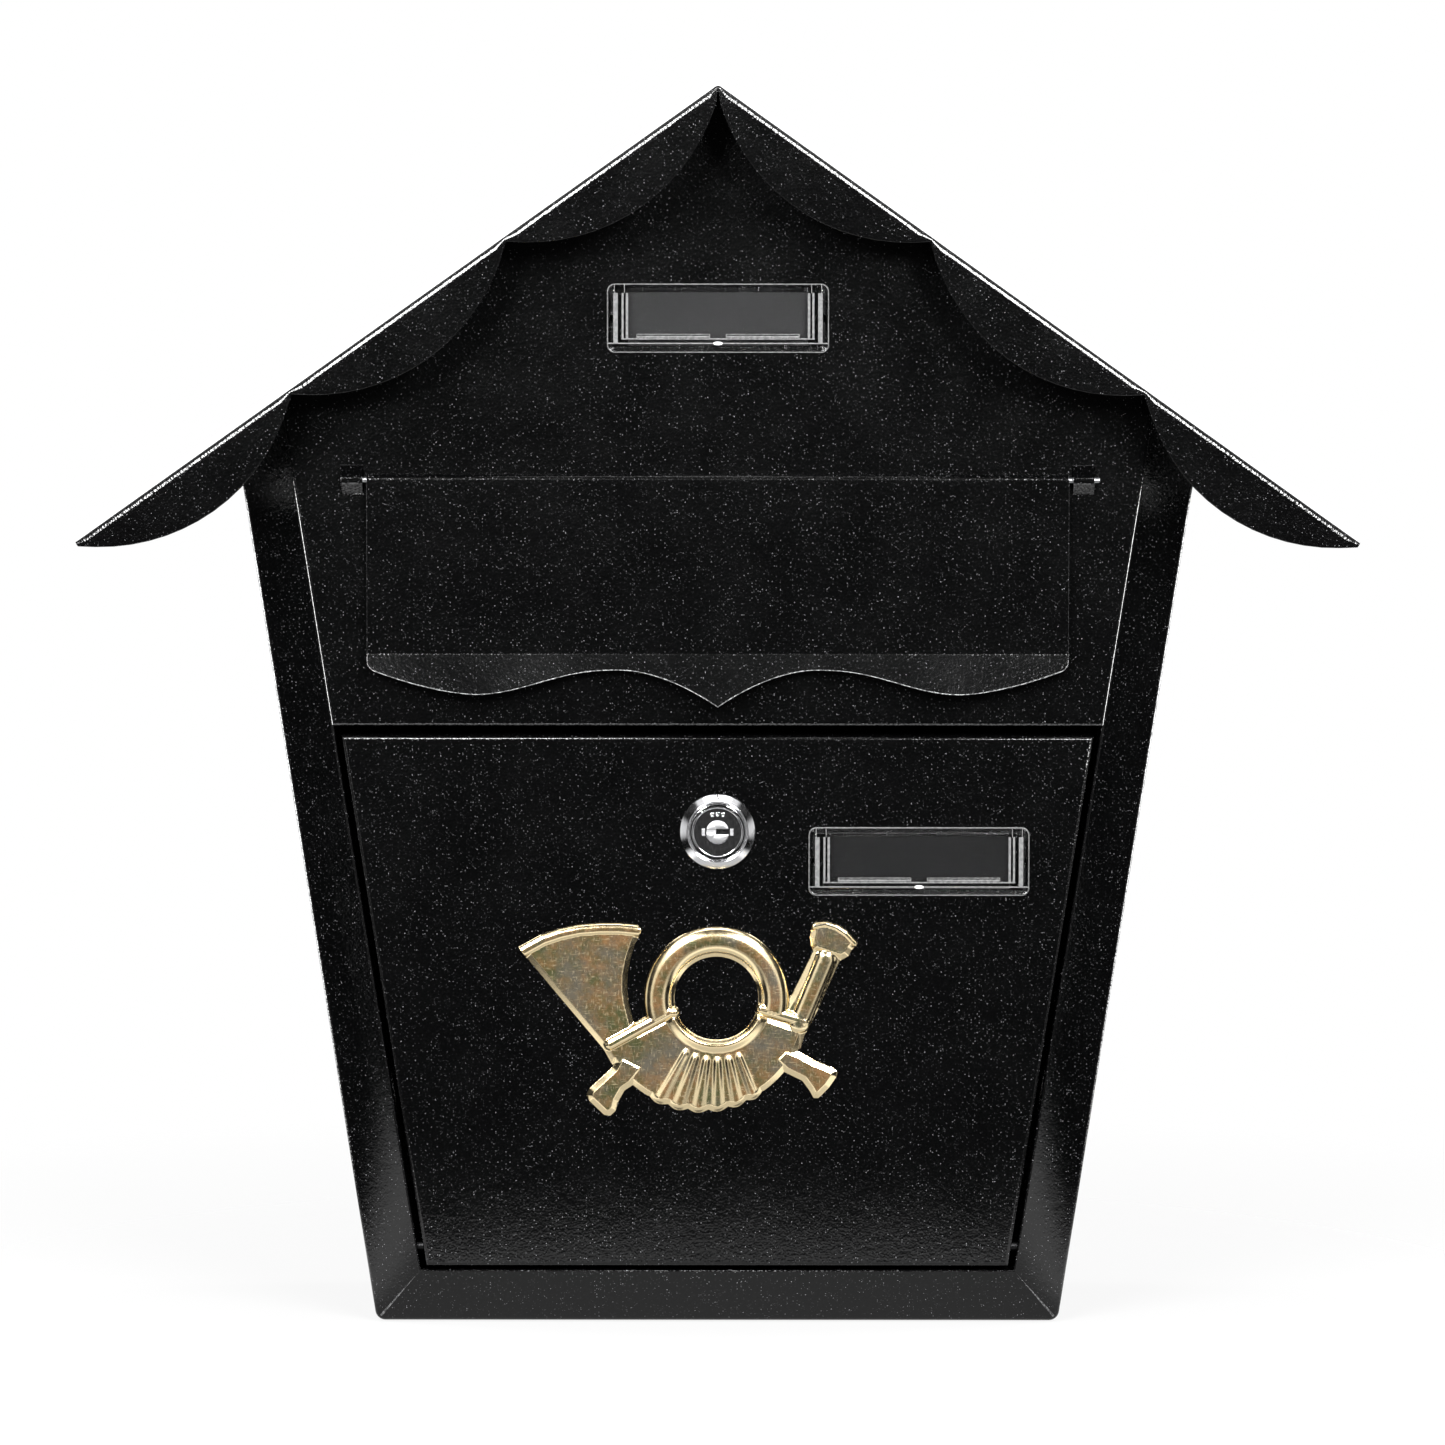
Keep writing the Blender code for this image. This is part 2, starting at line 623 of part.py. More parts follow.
def make_lock_plug():
    """Turning core: a keyway in its face, slots for the tumblers and a square tail for the cam."""
    z = height(LOCK_DROP)
    plug = turned("lock_plug", ((PLUG_RADIUS, PLUG_FACE_Y), (PLUG_RADIUS, PLUG_REAR_Y)), 0.0, z, "chrome")
    half = TAIL_HALF_WIDTH
    tail = prism("guide_tail", rectangle(-half, half, z - half, z + half), PLUG_REAR_Y - MM, TAIL_REAR_Y)
    add(plug, tail)
    front = PLUG_FACE_Y - MM
    half_x = KEYWAY_HALF_WIDTH
    half_z = KEYWAY_HALF_HEIGHT
    outline = rectangle(-half_x, half_x, z - half_z, z + half_z)
    cut(plug, prism("cutter_keyway", outline, front, PLUG_FACE_Y + KEYWAY_DEPTH))
    dish_rear = PLUG_FACE_Y + KEYWAY_DISH_DEPTH
    cut(plug, hole_along_y("cutter_keyway_dish", KEYWAY_DISH_RADIUS, 0.0, z, front, dish_rear))
    half_x = PLUG_RADIUS + MM
    half_z = TUMBLER_HALF_HEIGHT + FIT_GAP
    half_y = TUMBLER_THICKNESS / 2 + FIT_GAP
    outline = rectangle(-half_x, half_x, z - half_z, z + half_z)
    for index in range(TUMBLER_COUNT):
        y = tumbler_y(index)
        cut(plug, prism(f"cutter_tumbler_slot_{index}", outline, y - half_y, y + half_y))
    screw_front = TAIL_REAR_Y - SCREW_DEPTH
    radius = SCREW_RADIUS + FIT_GAP
    cut(plug, hole_along_y("cutter_screw_hole", radius, 0.0, z, screw_front, TAIL_REAR_Y + MM, 16))
    return plug


def make_tumbler(index):
    """Flat wafer that slides in the plug, with a window for the key, where a key in the lock holds it."""
    z = height(LOCK_DROP)
    y = tumbler_y(index)
    half_x = TUMBLER_HALF_LENGTH
    half_z = TUMBLER_HALF_HEIGHT
    outer = rectangle(-half_x, half_x, z - half_z, z + half_z)
    half_x = TUMBLER_WINDOW_HALF_LENGTH
    half_z = TUMBLER_WINDOW_HALF_HEIGHT
    window = rectangle(-half_x, half_x, z - half_z, z + half_z)
    near = y - TUMBLER_THICKNESS / 2
    far = y + TUMBLER_THICKNESS / 2
    steps = ((outer, near), (outer, far), (window, far), (window, near))
    rings = [[(px, py, pz) for px, pz in path] for path, py in steps]
    return skin(f"lock_tumbler_{index + 1}", rings, "zinc", closed=True)


def make_lock_nut():
    """Hexagon nut on the barrel, behind the door."""
    z = height(LOCK_DROP)
    front = FRONT_Y + THIN_SHEET + FIT_GAP
    rear = front + NUT_THICKNESS
    segments = 24
    hexagon = []
    for i in range(segments):
        angle = 2 * math.pi * i / segments
        to_flat = (angle + math.pi / 6) % (math.pi / 3) - math.pi / 6
        radius = NUT_FLAT_RADIUS / math.cos(to_flat)
        hexagon.append((radius * math.cos(angle), z + radius * math.sin(angle)))
    bore = circle(BARREL_HOLE_RADIUS, segments, (0.0, z))
    steps = ((hexagon, front), (hexagon, rear), (bore, rear), (bore, front))
    rings = [[(px, py, pz) for px, pz in path] for path, py in steps]
    return skin("lock_nut", rings, "zinc", closed=True)


def make_lock_cam():
    """Flat cam with a square hole. It points to the right when unlocked, and up when locked."""
    z = height(LOCK_DROP)
    rear = CAM_FRONT_Y + CAM_THICKNESS
    heel = [Vector((0.0, z)) + CAM_HALF_WIDTH * Vector((math.sin(a), math.cos(a))) for a in half_turn(8)]
    tip = [
        (CAM_HALF_WIDTH, z - CAM_HALF_WIDTH),
        (CAM_REACH - CAM_NECK, z - CAM_HALF_WIDTH),
        (CAM_REACH, z - CAM_HALF_WIDTH + CAM_NECK),
        (CAM_REACH, z + CAM_HALF_WIDTH - CAM_NECK),
        (CAM_REACH - CAM_NECK, z + CAM_HALF_WIDTH),
    ]
    outline = [(p.x, p.y) for p in heel] + tip
    cam = prism("lock_cam", outline, CAM_FRONT_Y, rear, "zinc")
    half = TAIL_HALF_WIDTH + FIT_GAP
    square = rectangle(-half, half, z - half, z + half)
    cut(cam, prism("cutter_cam_square", square, CAM_FRONT_Y - MM, rear + MM))
    return cam


def half_turn(segments):
    """Angles of a half turn on the left side, from the top to the bottom."""
    return [-math.pi * i / segments for i in range(segments + 1)]


def make_cam_washer():
    front = TAIL_REAR_Y + FIT_GAP
    rear = front + WASHER_THICKNESS
    hole = SCREW_RADIUS + FIT_GAP
    profile = ((WASHER_RADIUS, front), (WASHER_RADIUS, rear), (hole, rear), (hole, front))
    return turned("lock_cam_washer", profile, 0.0, height(LOCK_DROP), "zinc", bored=True, segments=24)


def make_cam_screw():
    under_head = TAIL_REAR_Y + 2 * FIT_GAP + WASHER_THICKNESS
    profile = [
        (SCREW_RADIUS, TAIL_REAR_Y - SCREW_DEPTH + FIT_GAP),
        (SCREW_RADIUS, under_head),
        (SCREW_HEAD_RADIUS, under_head),
        (SCREW_HEAD_RADIUS, under_head + SCREW_HEAD / 2),
        (SCREW_HEAD_RADIUS - SCREW_HEAD / 2, under_head + SCREW_HEAD),
    ]
    return turned("lock_cam_screw", profile, 0.0, height(LOCK_DROP), "zinc", segments=24)


# ---------------------------------------------------------------- name plates


def peg_places(place):
    x, drop = place
    return [(x - PLATE_PEG_X, height(drop)), (x + PLATE_PEG_X, height(drop))]


def drill_plate_holes(panel, label, place):
    """Holes in a panel for a name plate's two pegs."""
    for index, (x, z) in enumerate(peg_places(place)):
        name = f"cutter_{label}_peg_hole_{index}"
        cut(panel, hole_along_y(name, PEG_HOLE_RADIUS, x, z, FRONT_Y - SHEET, FRONT_Y + 2 * SHEET, 16))


def make_name_plate(label, place):
    """Clear cover with a window recess in front, a card pocket behind and two pegs through the panel."""
    x, drop = place
    z = height(drop)
    seat = FRONT_Y - FIT_GAP
    front = seat - PLATE_PROUD
    outline = rounded_rectangle(PLATE_HALF_WIDTH, PLATE_HALF_HEIGHT, PLATE_CORNER, (x, z))
    cover = prism(f"{label}_nameplate_cover", outline, front, seat, "clear_plastic")
    half = PLATE_WINDOW_HALF_WIDTH
    window = rectangle(x - half, x + half, z + PLATE_WINDOW_BOTTOM, z + PLATE_WINDOW_TOP)
    cut(cover, prism(f"cutter_{label}_window", window, front - MM, front + PLATE_WINDOW_DEPTH))
    half_x = PLATE_POCKET_HALF_WIDTH
    half_z = PLATE_POCKET_HALF_HEIGHT
    pocket = rectangle(x - half_x, x + half_x, z - half_z, z + half_z)
    cut(cover, prism(f"cutter_{label}_pocket", pocket, seat - PLATE_POCKET_DEPTH, seat + MM))
    for index, (px, pz) in enumerate(peg_places(place)):
        profile = ((PEG_RADIUS, seat - MM), (PEG_RADIUS, seat + PEG_LENGTH))
        add(cover, turned(f"guide_{label}_peg_{index}", profile, px, pz, segments=16))
    card_front = seat - PLATE_POCKET_DEPTH + FIT_GAP
    half_x -= FIT_GAP
    half_z -= FIT_GAP
    card_outline = rectangle(x - half_x, x + half_x, z - half_z, z + half_z)
    name = f"{label}_nameplate_insert"
    card = prism(name, card_outline, card_front, card_front + CARD_THICKNESS, "dark_card")
    return cover, card


# ---------------------------------------------------------------- emblem


def stud_places():
    """Where the emblem's two studs pass through the door."""
    middle = (HORN_RADIUS + HORN_HOLE_RADIUS) / 2
    x = EMBLEM_X + HORN_CENTRE[0]
    z = height(EMBLEM_DROP) + HORN_CENTRE[1]
    return [(x - middle, z), (x + middle, z)]


def emblem_piece(name, outline_mm, thickness):
    """A raised shape of the emblem, from an outline in millimetres from the emblem's middle."""
    z = height(EMBLEM_DROP)
    outline = [(EMBLEM_X + px * MM, z + pz * MM) for px, pz in outline_mm]
    back = FRONT_Y - FIT_GAP
    return prism(name, outline, back - thickness, back)


def fan_outline():
    """Pleated fan below the horn's ring: an annular sector with a wavy outer edge."""
    cx, cz = (value / MM for value in HORN_CENTRE)
    steps = 6 * FAN_PLEATS
    inner = (HORN_HOLE_RADIUS + HORN_RADIUS) / 2 / MM
    points = []
    for i in range(steps + 1):
        angle = FAN_START + (FAN_END - FAN_START) * i / steps
        wave = abs(math.sin(math.pi * FAN_PLEATS * i / steps))
        radius = FAN_RADIUS / MM - 1.2 + 1.2 * wave
        points.append((cx + radius * math.cos(angle), cz + radius * math.sin(angle)))
    for i in range(9):
        angle = FAN_END + (FAN_START - FAN_END) * i / 8
        points.append((cx + inner * math.cos(angle), cz + inner * math.sin(angle)))
    return points


def make_emblem():
    """Pressed post horn: a coiled tube with bell and mouthpiece, a fan of ribbon and two ribbon ends."""
    x = EMBLEM_X + HORN_CENTRE[0]
    z = height(EMBLEM_DROP) + HORN_CENTRE[1]
    back = FRONT_Y - FIT_GAP
    front = back - EMBLEM_RELIEF
    ring = ((HORN_RADIUS, front), (HORN_RADIUS, back), (HORN_HOLE_RADIUS, back), (HORN_HOLE_RADIUS, front))
    emblem = turned("emblem", ring, x, z, "gold", bored=True, segments=36)
    bell_rim = [(-14.5, 27.2), (-22.9, 28.6), (-31.7, 28.2), (-41.2, 25.8), (-49.7, 21.7)]
    bell_left = [(-48.8, 20.5), (-22.7, -13.5), (-12.0, -9.0)]
    bell_right = [(-12.0, -4.0), (-16.0, -1.2), (-18.2, 5.2), (-18.9, 12.6), (-17.8, 20.1), (-14.8, 25.7)]
    add(emblem, emblem_piece("guide_bell", bell_rim + bell_left + bell_right, EMBLEM_RELIEF * 0.9))
    left_band = [(-24.3, -6.1), (-22.5, -9.7), (-4.0, 0.0), (-4.0, 4.0)]
    right_band = [(21.0, 1.0), (33.8, -3.1), (35.2, 0.7), (22.6, 5.3)]
    add(emblem, emblem_piece("guide_left_band", left_band, EMBLEM_BASE))
    add(emblem, emblem_piece("guide_right_band", right_band, EMBLEM_BASE * 1.1))
    mouth_tube = [(28.2, -1.5), (32.6, -9.8), (44.6, 17.5), (46.2, 23.6), (36.0, 23.6), (36.7, 20.5)]
    cup = [(36.2, 22.7), (49.8, 22.7), (50.0, 24.0), (49.6, 27.0), (48.0, 28.2), (36.5, 28.2)]
    add(emblem, emblem_piece("guide_mouth_tube", mouth_tube, EMBLEM_RELIEF * 0.8))
    add(emblem, emblem_piece("guide_mouthpiece", cup, EMBLEM_RELIEF * 0.85))
    add(emblem, emblem_piece("guide_fan", fan_outline(), EMBLEM_BASE * 1.2))
    left_end = [(-8.0, -8.0), (-20.5, -14.2), (-29.8, -22.9)]
    left_end += [(-26.2, -26.4), (-23.4, -28.8), (-6.0, -15.0)]
    right_end = [(20.0, -8.0), (25.5, -16.0), (37.5, -23.6)]
    right_end += [(41.0, -19.9), (43.5, -15.4), (26.0, -6.0)]
    add(emblem, emblem_piece("guide_left_end", left_end, EMBLEM_BASE * 0.9))
    add(emblem, emblem_piece("guide_right_end", right_end, EMBLEM_BASE * 0.9))
    for index, (px, pz) in enumerate(stud_places()):
        profile = ((STUD_RADIUS, back - MM), (STUD_RADIUS, back + 3 * MM))
        add(emblem, turned(f"guide_stud_{index}", profile, px, pz, segments=16))
    return emblem


def make_emblem_clip(name, place):
    """Push-on spring clip that holds a stud behind the door."""
    x, z = place
    front = FRONT_Y + THIN_SHEET + FIT_GAP
    rear = front + CLIP_THICKNESS
    profile = [(CLIP_RADIUS, front), (CLIP_RADIUS, rear)]
    profile += [(CLIP_HOLE_RADIUS, rear), (CLIP_HOLE_RADIUS, front)]
    return turned(name, profile, x, z, "zinc", bored=True, segments=24)


# ---------------------------------------------------------------- assembly


def main():
    for obj in list(bpy.data.objects):
        bpy.data.objects.remove(obj)

    make_roof()
    make_body_shell()
    make_back_panel()
    make_front_panel()
    make_name_plate("upper", UPPER_PLATE)

    joint_axis("flap_axis", (0.0, HINGE_Y, height(HINGE_DROP)), [make_flap(), make_flap_rod()])

    left_stud, right_stud = stud_places()
    door_pieces = [
        make_door(),
        make_door_pin("door_hinge_pin_left", -1),
        make_door_pin("door_hinge_pin_right", 1),
        make_lock_housing(),
        make_lock_nut(),
        make_emblem(),
        make_emblem_clip("emblem_clip_left", left_stud),
        make_emblem_clip("emblem_clip_right", right_stud),
        *make_name_plate("lower", LOWER_PLATE),
    ]
    door_axis = joint_axis("door_axis", (0.0, PIVOT_Y, PIVOT_Z), door_pieces)

    plug_pieces = [make_lock_plug(), make_lock_cam(), make_cam_washer(), make_cam_screw()]
    plug_pieces += [make_tumbler(index) for index in range(TUMBLER_COUNT)]
    lock_axis = joint_axis("lock_axis", (0.0, FRONT_Y, height(LOCK_DROP)), plug_pieces)
    lock_axis.parent = door_axis
    lock_axis.matrix_parent_inverse = door_axis.matrix_world.inverted()


main()
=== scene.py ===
"""Looks of the wall mounted mailbox: coated sheet metal, chrome lock, gold emblem and clear name plates.

Every piece is placed from the CAD frame. A "drop" is a distance below the roof's apex, and an "inset" is
a distance inwards from the tapering side of the body, square to that side.
"""

import math

import bmesh
import bpy
import numpy as np
from mathutils import Matrix, Vector


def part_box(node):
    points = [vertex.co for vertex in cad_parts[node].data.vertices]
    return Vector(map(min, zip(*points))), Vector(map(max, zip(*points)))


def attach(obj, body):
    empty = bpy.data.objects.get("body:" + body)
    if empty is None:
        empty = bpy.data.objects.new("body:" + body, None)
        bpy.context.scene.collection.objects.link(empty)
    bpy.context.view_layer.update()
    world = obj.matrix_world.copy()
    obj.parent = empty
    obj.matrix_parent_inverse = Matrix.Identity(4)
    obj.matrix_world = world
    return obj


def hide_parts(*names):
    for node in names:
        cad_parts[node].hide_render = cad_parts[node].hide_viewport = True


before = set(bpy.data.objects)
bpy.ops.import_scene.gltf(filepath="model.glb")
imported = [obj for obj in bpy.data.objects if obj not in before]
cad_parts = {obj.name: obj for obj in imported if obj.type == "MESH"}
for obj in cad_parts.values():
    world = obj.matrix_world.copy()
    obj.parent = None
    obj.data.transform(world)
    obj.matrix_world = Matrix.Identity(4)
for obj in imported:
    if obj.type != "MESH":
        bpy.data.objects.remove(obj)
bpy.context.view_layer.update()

MM = 0.001


def low(node):
    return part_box(node)[0]


def high(node):
    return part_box(node)[1]


def middle(node):
    return [(a + b) / 2 for a, b in zip(*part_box(node))]


# Sheet metal
SHEET = 1.0 * MM
THIN_SHEET = 0.8 * MM
FLAP_SHEET = 0.6 * MM
GAP = 0.3 * MM
PEG_HOLE = 1.55 * MM
PEG_X = 29.3 * MM

# Roof
APEX_Z = high("roof").z
ROOF_HALF_WIDTH = high("roof").x
ROOF_DEPTH = -low("roof").y
SCALLOPS = 3
SCALLOP_SAGITTA = 14.6 * MM
SCALLOP_SEGMENTS = 16
CUSP_DEPTH = 1.25 * MM
ROOF_BEND = 1.8 * MM
RIDGE_BEND = 1.5 * MM
ROOF_SLOPE = 0.71135
ROOF_ANGLE = math.atan(ROOF_SLOPE)

# Body
BODY_BOTTOM_Z = low("body_shell").z
BODY_DROP = APEX_Z - BODY_BOTTOM_Z
BOTTOM_HALF_WIDTH = 100.1 * MM
TAPER = 0.1562
TAPER_ANGLE = math.atan(TAPER)
FRONT_Y = low("door").y
BEVEL_Y = -75 * MM
JAMB_REAR_Y = -72 * MM
OPENING_INSET = 15.66 * MM
SILL_DROP = 346.8 * MM
SILL_STRETCH = (BODY_DROP - SILL_DROP) / OPENING_INSET
BACK_FLANGE = 12 * MM
BACK_FLANGE_Y = high("body_shell").y
SHELL_TOP_GAP = 0.8 * MM
BOTTOM_CORNER = 3.0 * MM
# Lighter colour painted along the bottom mitres as a highlight.
MITRE_PAINTED_HIGHLIGHT = 0.15
WELD_GAP = 0.4 * MM

# Front panel, flap and door
PANEL_BOTTOM_Z = low("front_panel").z
PANEL_FLANGE = 14.5 * MM
SLOT_X = 95 * MM
SLOT_HIGHEST = 128 * MM
SLOT_LOWEST = 156 * MM
HINGE_Y, HINGE_Z = middle("flap_hinge_rod")[1:]
ROD_RADIUS = 0.8 * MM
KNUCKLE_RADIUS = 1.7 * MM
KNUCKLE_TURN = math.radians(290)
FLAP_HALF_WIDTH = high("flap").x
FLAP_FOLD = 50.6 * MM
FLAP_FOLD_BEND = 1.6 * MM
LIP_ANGLE = math.radians(22)
POINT_BELOW = 65.5 * MM
TROUGH_BELOW = 55.1 * MM
TROUGH_X = 28.5 * MM
LOBE_BELOW = 62 * MM
LOBE_X = 70.4 * MM
CORNER_RISE = 7.3 * MM
FLAP_CORNER = 2.2 * MM
# Lighter colour on the flap's cut edges: partly rubbed metal, partly a painted highlight.
LIP_WEAR_AND_HIGHLIGHT = 0.75
FLAP_SIDE_WEAR_AND_HIGHLIGHT = 0.06
EYE_INNER_X = 103.1 * MM
EYE_OUTER_X = 109.2 * MM
EYE_HALF_HEIGHT = 4.95 * MM
EYE_CREST = 0.9 * MM
# Lighter colour painted on the eyes' undersides as light from below.
EYE_UNDERSIDE_PAINTED_LIGHT = 0.07
EYE_PROUD = FRONT_Y - low("front_panel").y
PIN_HOLE = 1.75 * MM
DOOR_GAP = 2.6 * MM
DOOR_FLANGE = 12 * MM
DOOR_BEND = 0.4 * MM
PANEL_BEND = 0.22 * MM

# Lock
LOCK_Z = middle("lock_housing")[2]
LOCK_FRONT_Y = low("lock_housing").y
LOCK_REAR_Y = high("lock_housing").y
PLUG_FACE_Y = low("lock_plug").y
PIVOT_Y, PIVOT_Z = middle("door_hinge_pin_left")[1:]

# Studio
# Brightness of the room by the sideways part of a direction: dark ahead, pale panels at both sides.
WALLS = [(0.0, 0.02), (0.36, 0.02), (0.45, 0.9), (0.60, 0.9)]
WALLS += [(0.66, 0.01), (0.93, 0.01), (0.98, 0.8), (1.0, 0.8)]
BACKDROP = 2.6
BACKDROP_FROM = (0.55, 0.85)
BACKDROP_TOP = (0.42, 0.25)
TOP_LIGHT = 3.5
FRONT_LIGHT = 58.0
REAR_LIGHT = 25.0
# The floor's look, the light it throws up by the distance from its middle, and where it fades out.
FLOOR_WHITE = 0.83
FLOOR_SHADE = 0.06
FLOOR_GLOW = 0.6
GLOW_NARROWED = (1.1, 1.15, 1.0)
GLOW_STEP = (0.13, 0.15)
GLOW_EDGE = (0.18, 0.245)
FLOOR_FADE = (0.22, 0.42)
WHITE = (1, 1, 1, 1)
FOCAL_LENGTH = 217.3
CAMERA_X = 1.2 * MM
CAMERA_AHEAD = 2.504
CAMERA_ABOVE = 51 * MM
CAMERA_DIP = 5.35
CAMERA_ROLL = -0.05

# Emblem
EMBLEM_X = -8.3 * MM
EMBLEM_Z = APEX_Z - 272.5 * MM
EMBLEM_BACK_Y = FRONT_Y - GAP


# ---------------- 2-D paths


def height(drop):
    return APEX_Z - drop


def side_x(drop, inset):
    """Half the body's width at a level, less an inset."""
    return BOTTOM_HALF_WIDTH + (BODY_DROP - drop) * TAPER - inset / math.cos(TAPER_ANGLE)


def under_roof(x, gap):
    """Drop of the roof's underside at x, plus a gap square to it."""
    return abs(x) * ROOF_SLOPE + (SHEET + gap) / math.cos(ROOF_ANGLE)


def top_corner(inset, gap):
    """X and Z where a line along the side, at an inset, meets the roof's underside less a gap."""
    x = side_x(under_roof(0, gap), inset) / (1 + TAPER * ROOF_SLOPE)
    return x, height(under_roof(x, gap))


def bottom_corner(inset):
    """X and Z of the bottom corner at an inset."""
    drop = BODY_DROP - inset * SILL_STRETCH
    return side_x(drop, inset), height(drop)


def left_of(direction):
    return Vector((-direction.y, direction.x))


def offset_outline(points, distance):
    """A closed outline moved to the left of its direction, with mitred corners."""
    count = len(points)
    normals = []
    for i in range(count):
        normals.append(left_of((Vector(points[(i + 1) % count]) - Vector(points[i])).normalized()))
    moved = []
    for i, point in enumerate(points):
        before = normals[i - 1]
        after = normals[i]
        moved.append(Vector(point) + (before + after) * distance / (1 + before.dot(after)))
    return moved


def bent_path(points, radii, segments=6):
    """Pairs of point and left normal along a 2-D path whose inner corners are bent on these radii."""
    points = [Vector(p) for p in points]
    ways = [(b - a).normalized() for a, b in zip(points, points[1:])]
    path = [(points[0], left_of(ways[0]))]
    for corner, radius, before, after in zip(points[1:], radii, ways, ways[1:]):
        turn = math.atan2(before.x * after.y - before.y * after.x, before.dot(after))
        side = math.copysign(radius, turn)
        start = corner - before * abs(side) * math.tan(abs(turn) / 2)
        centre = start + left_of(before) * side
        for k in range(segments + 1):
            normal = left_of(before)
            normal.rotate(Matrix.Rotation(turn * k / segments, 2))
            path.append((centre - normal * side, normal))
    path.append((points[-1], left_of(ways[-1])))
    return path


def sheet_section(path, thickness, round_start=True):
    """Closed section of a sheet along a path, with the sheet to its left and its cut edges rounded."""
    radius = thickness / 2
    steps = [math.radians(a) for a in (30, 65, 90, 115, 150)]
    outer = [p for p, n in path]
    inner = [p + n * thickness for p, n in reversed(path)]
    end_point, end_normal = path[-1]
    start_point, start_normal = path[0]
    way = Vector((end_normal.y, -end_normal.x))
    centre = end_point + end_normal * radius
    end = [centre + radius * (way * math.sin(a) - end_normal * math.cos(a)) for a in steps]
    start = []
    if round_start:
        way = Vector((-start_normal.y, start_normal.x))
        centre = start_point + start_normal * radius
        start = [centre + radius * (way * math.sin(a) + start_normal * math.cos(a)) for a in steps]
    return outer + end + inner + start


def arc_between(start, end, sagitta, segments):
    """Points of a circular arc from one 2-D point to another, bulging to the right of the chord."""
    start = Vector(start)
    end = Vector(end)
    along = (end - start).normalized()
    bulge = -left_of(along)
    half = (end - start).length / 2
    radius = (half**2 + sagitta**2) / (2 * sagitta)
    centre = (start + end) / 2 + bulge * (sagitta - radius)
    reach = math.asin(min(1.0, half / radius))
    if sagitta > radius:
        reach = math.pi - reach
    points = []
    for i in range(segments + 1):
        angle = reach * (2 * i / segments - 1)
        points.append(centre + along * radius * math.sin(angle) + bulge * radius * math.cos(angle))
    return points


def circle(radius, segments, centre=(0.0, 0.0)):
    turn = 2 * math.pi / segments
    return [
        (centre[0] + radius * math.cos(i * turn), centre[1] + radius * math.sin(i * turn))
        for i in range(segments)
    ]


def rounded_rectangle(left, right, bottom, top, corner, segments=6):
    """Outline of a rectangle with round corners, anticlockwise."""
    points = []
    centres = ((right, top, -1, -1), (left, top, 1, -1), (left, bottom, 1, 1), (right, bottom, -1, 1))
    for quarter, (x, z, sx, sz) in enumerate(centres):
        for i in range(segments + 1):
            angle = (quarter + i / segments) * math.pi / 2
            px = x + sx * corner + corner * math.cos(angle)
            pz = z + sz * corner + corner * math.sin(angle)
            points.append((px, pz))
    return points


def rectangle(left, right, bottom, top):
    return [(left, bottom), (right, bottom), (right, top), (left, top)]


def mirrored(right_half):
    """A closed outline from its right half, given from bottom to top."""
    return list(right_half) + [(-x, z) for x, z in reversed(right_half) if x > 1e-9]


# ---------------- meshes


def placed(name, data):
    obj = bpy.data.objects.new(name, data)
    bpy.context.scene.collection.objects.link(obj)
    return obj


def new_object(name, bm):
    bmesh.ops.remove_doubles(bm, verts=bm.verts, dist=1e-7)
    bmesh.ops.recalc_face_normals(bm, faces=bm.faces)
    mesh = bpy.data.meshes.new(name)
    bm.to_mesh(mesh)
    bm.free()
    return placed(name, mesh)


def skin(name, rings, closed=False):
    """A closed solid whose surface runs through rings of as many points each."""
    bm = bmesh.new()
    loops = [[bm.verts.new(point) for point in ring] for ring in rings]
    following = loops[1:] + loops[:1] if closed else loops[1:]
    for near, far in zip(loops, following):
        for i in range(len(near)):
            bm.faces.new((near[i - 1], near[i], far[i], far[i - 1]))
    if not closed:
        bm.faces.new(loops[0])
        bm.faces.new(loops[-1])
    return new_object(name, bm)


def prism(name, outline, front, rear):
    """An outline in X and Z, extruded from one Y to another."""
    return skin(name, [[(x, y, z) for x, z in outline] for y in (front, rear)])


def turned(name, profile, x, z, bored=False, segments=96):
    """A round piece about a line along Y, from radii and Ys."""
    rings = [[(px, y, pz) for px, pz in circle(radius, segments, (x, z))] for radius, y in profile]
    return skin(name, rings, closed=bored)


def turned_along_x(name, profile, y, z):
    """A round piece about a line along X, from radii and Xs."""
    rings = [[(x, py, pz) for py, pz in circle(radius, 32, (y, z))] for radius, x in profile]
    return skin(name, rings)


def tray(name, outline, front, depth, sheet, bend):
    """A pressed panel: a front plate with a flange bent back along every edge."""
    inset = 3 * MM
    path = bent_path([(inset, front), (0.0, front), (0.0, front + depth - sheet / 2)], [bend])
    rings = []
    for distance, y in sheet_section(path, sheet, round_start=False):
        rings.append([(p.x, y, p.y) for p in offset_outline(outline, distance)])
    return skin(name, rings)


def modify(obj, name, kind, **settings):
    modifier = obj.modifiers.new(name, kind)
    for key, value in settings.items():
        setattr(modifier, key, value)


def settle(obj):
    """Puts the result of an object's modifiers into its mesh."""
    bpy.context.view_layer.update()
    graph = bpy.context.evaluated_depsgraph_get()
    mesh = bpy.data.meshes.new_from_object(obj.evaluated_get(graph))
    obj.modifiers.clear()
    obj.data = mesh


def boolean(target, tool, operation):
    modify(target, tool.name, "BOOLEAN", operation=operation, solver="EXACT", object=tool)
    settle(target)
    bpy.data.objects.remove(tool)


def cut(target, tool):
    boolean(target, tool, "DIFFERENCE")


def add(target, tool):
    boolean(target, tool, "UNION")


def break_edges(obj, width, segments, angle):
    settings = {"width": width, "segments": segments, "angle_limit": math.radians(angle)}
    modify(obj, "broken_edges", "BEVEL", limit_method="ANGLE", harden_normals=False, **settings)


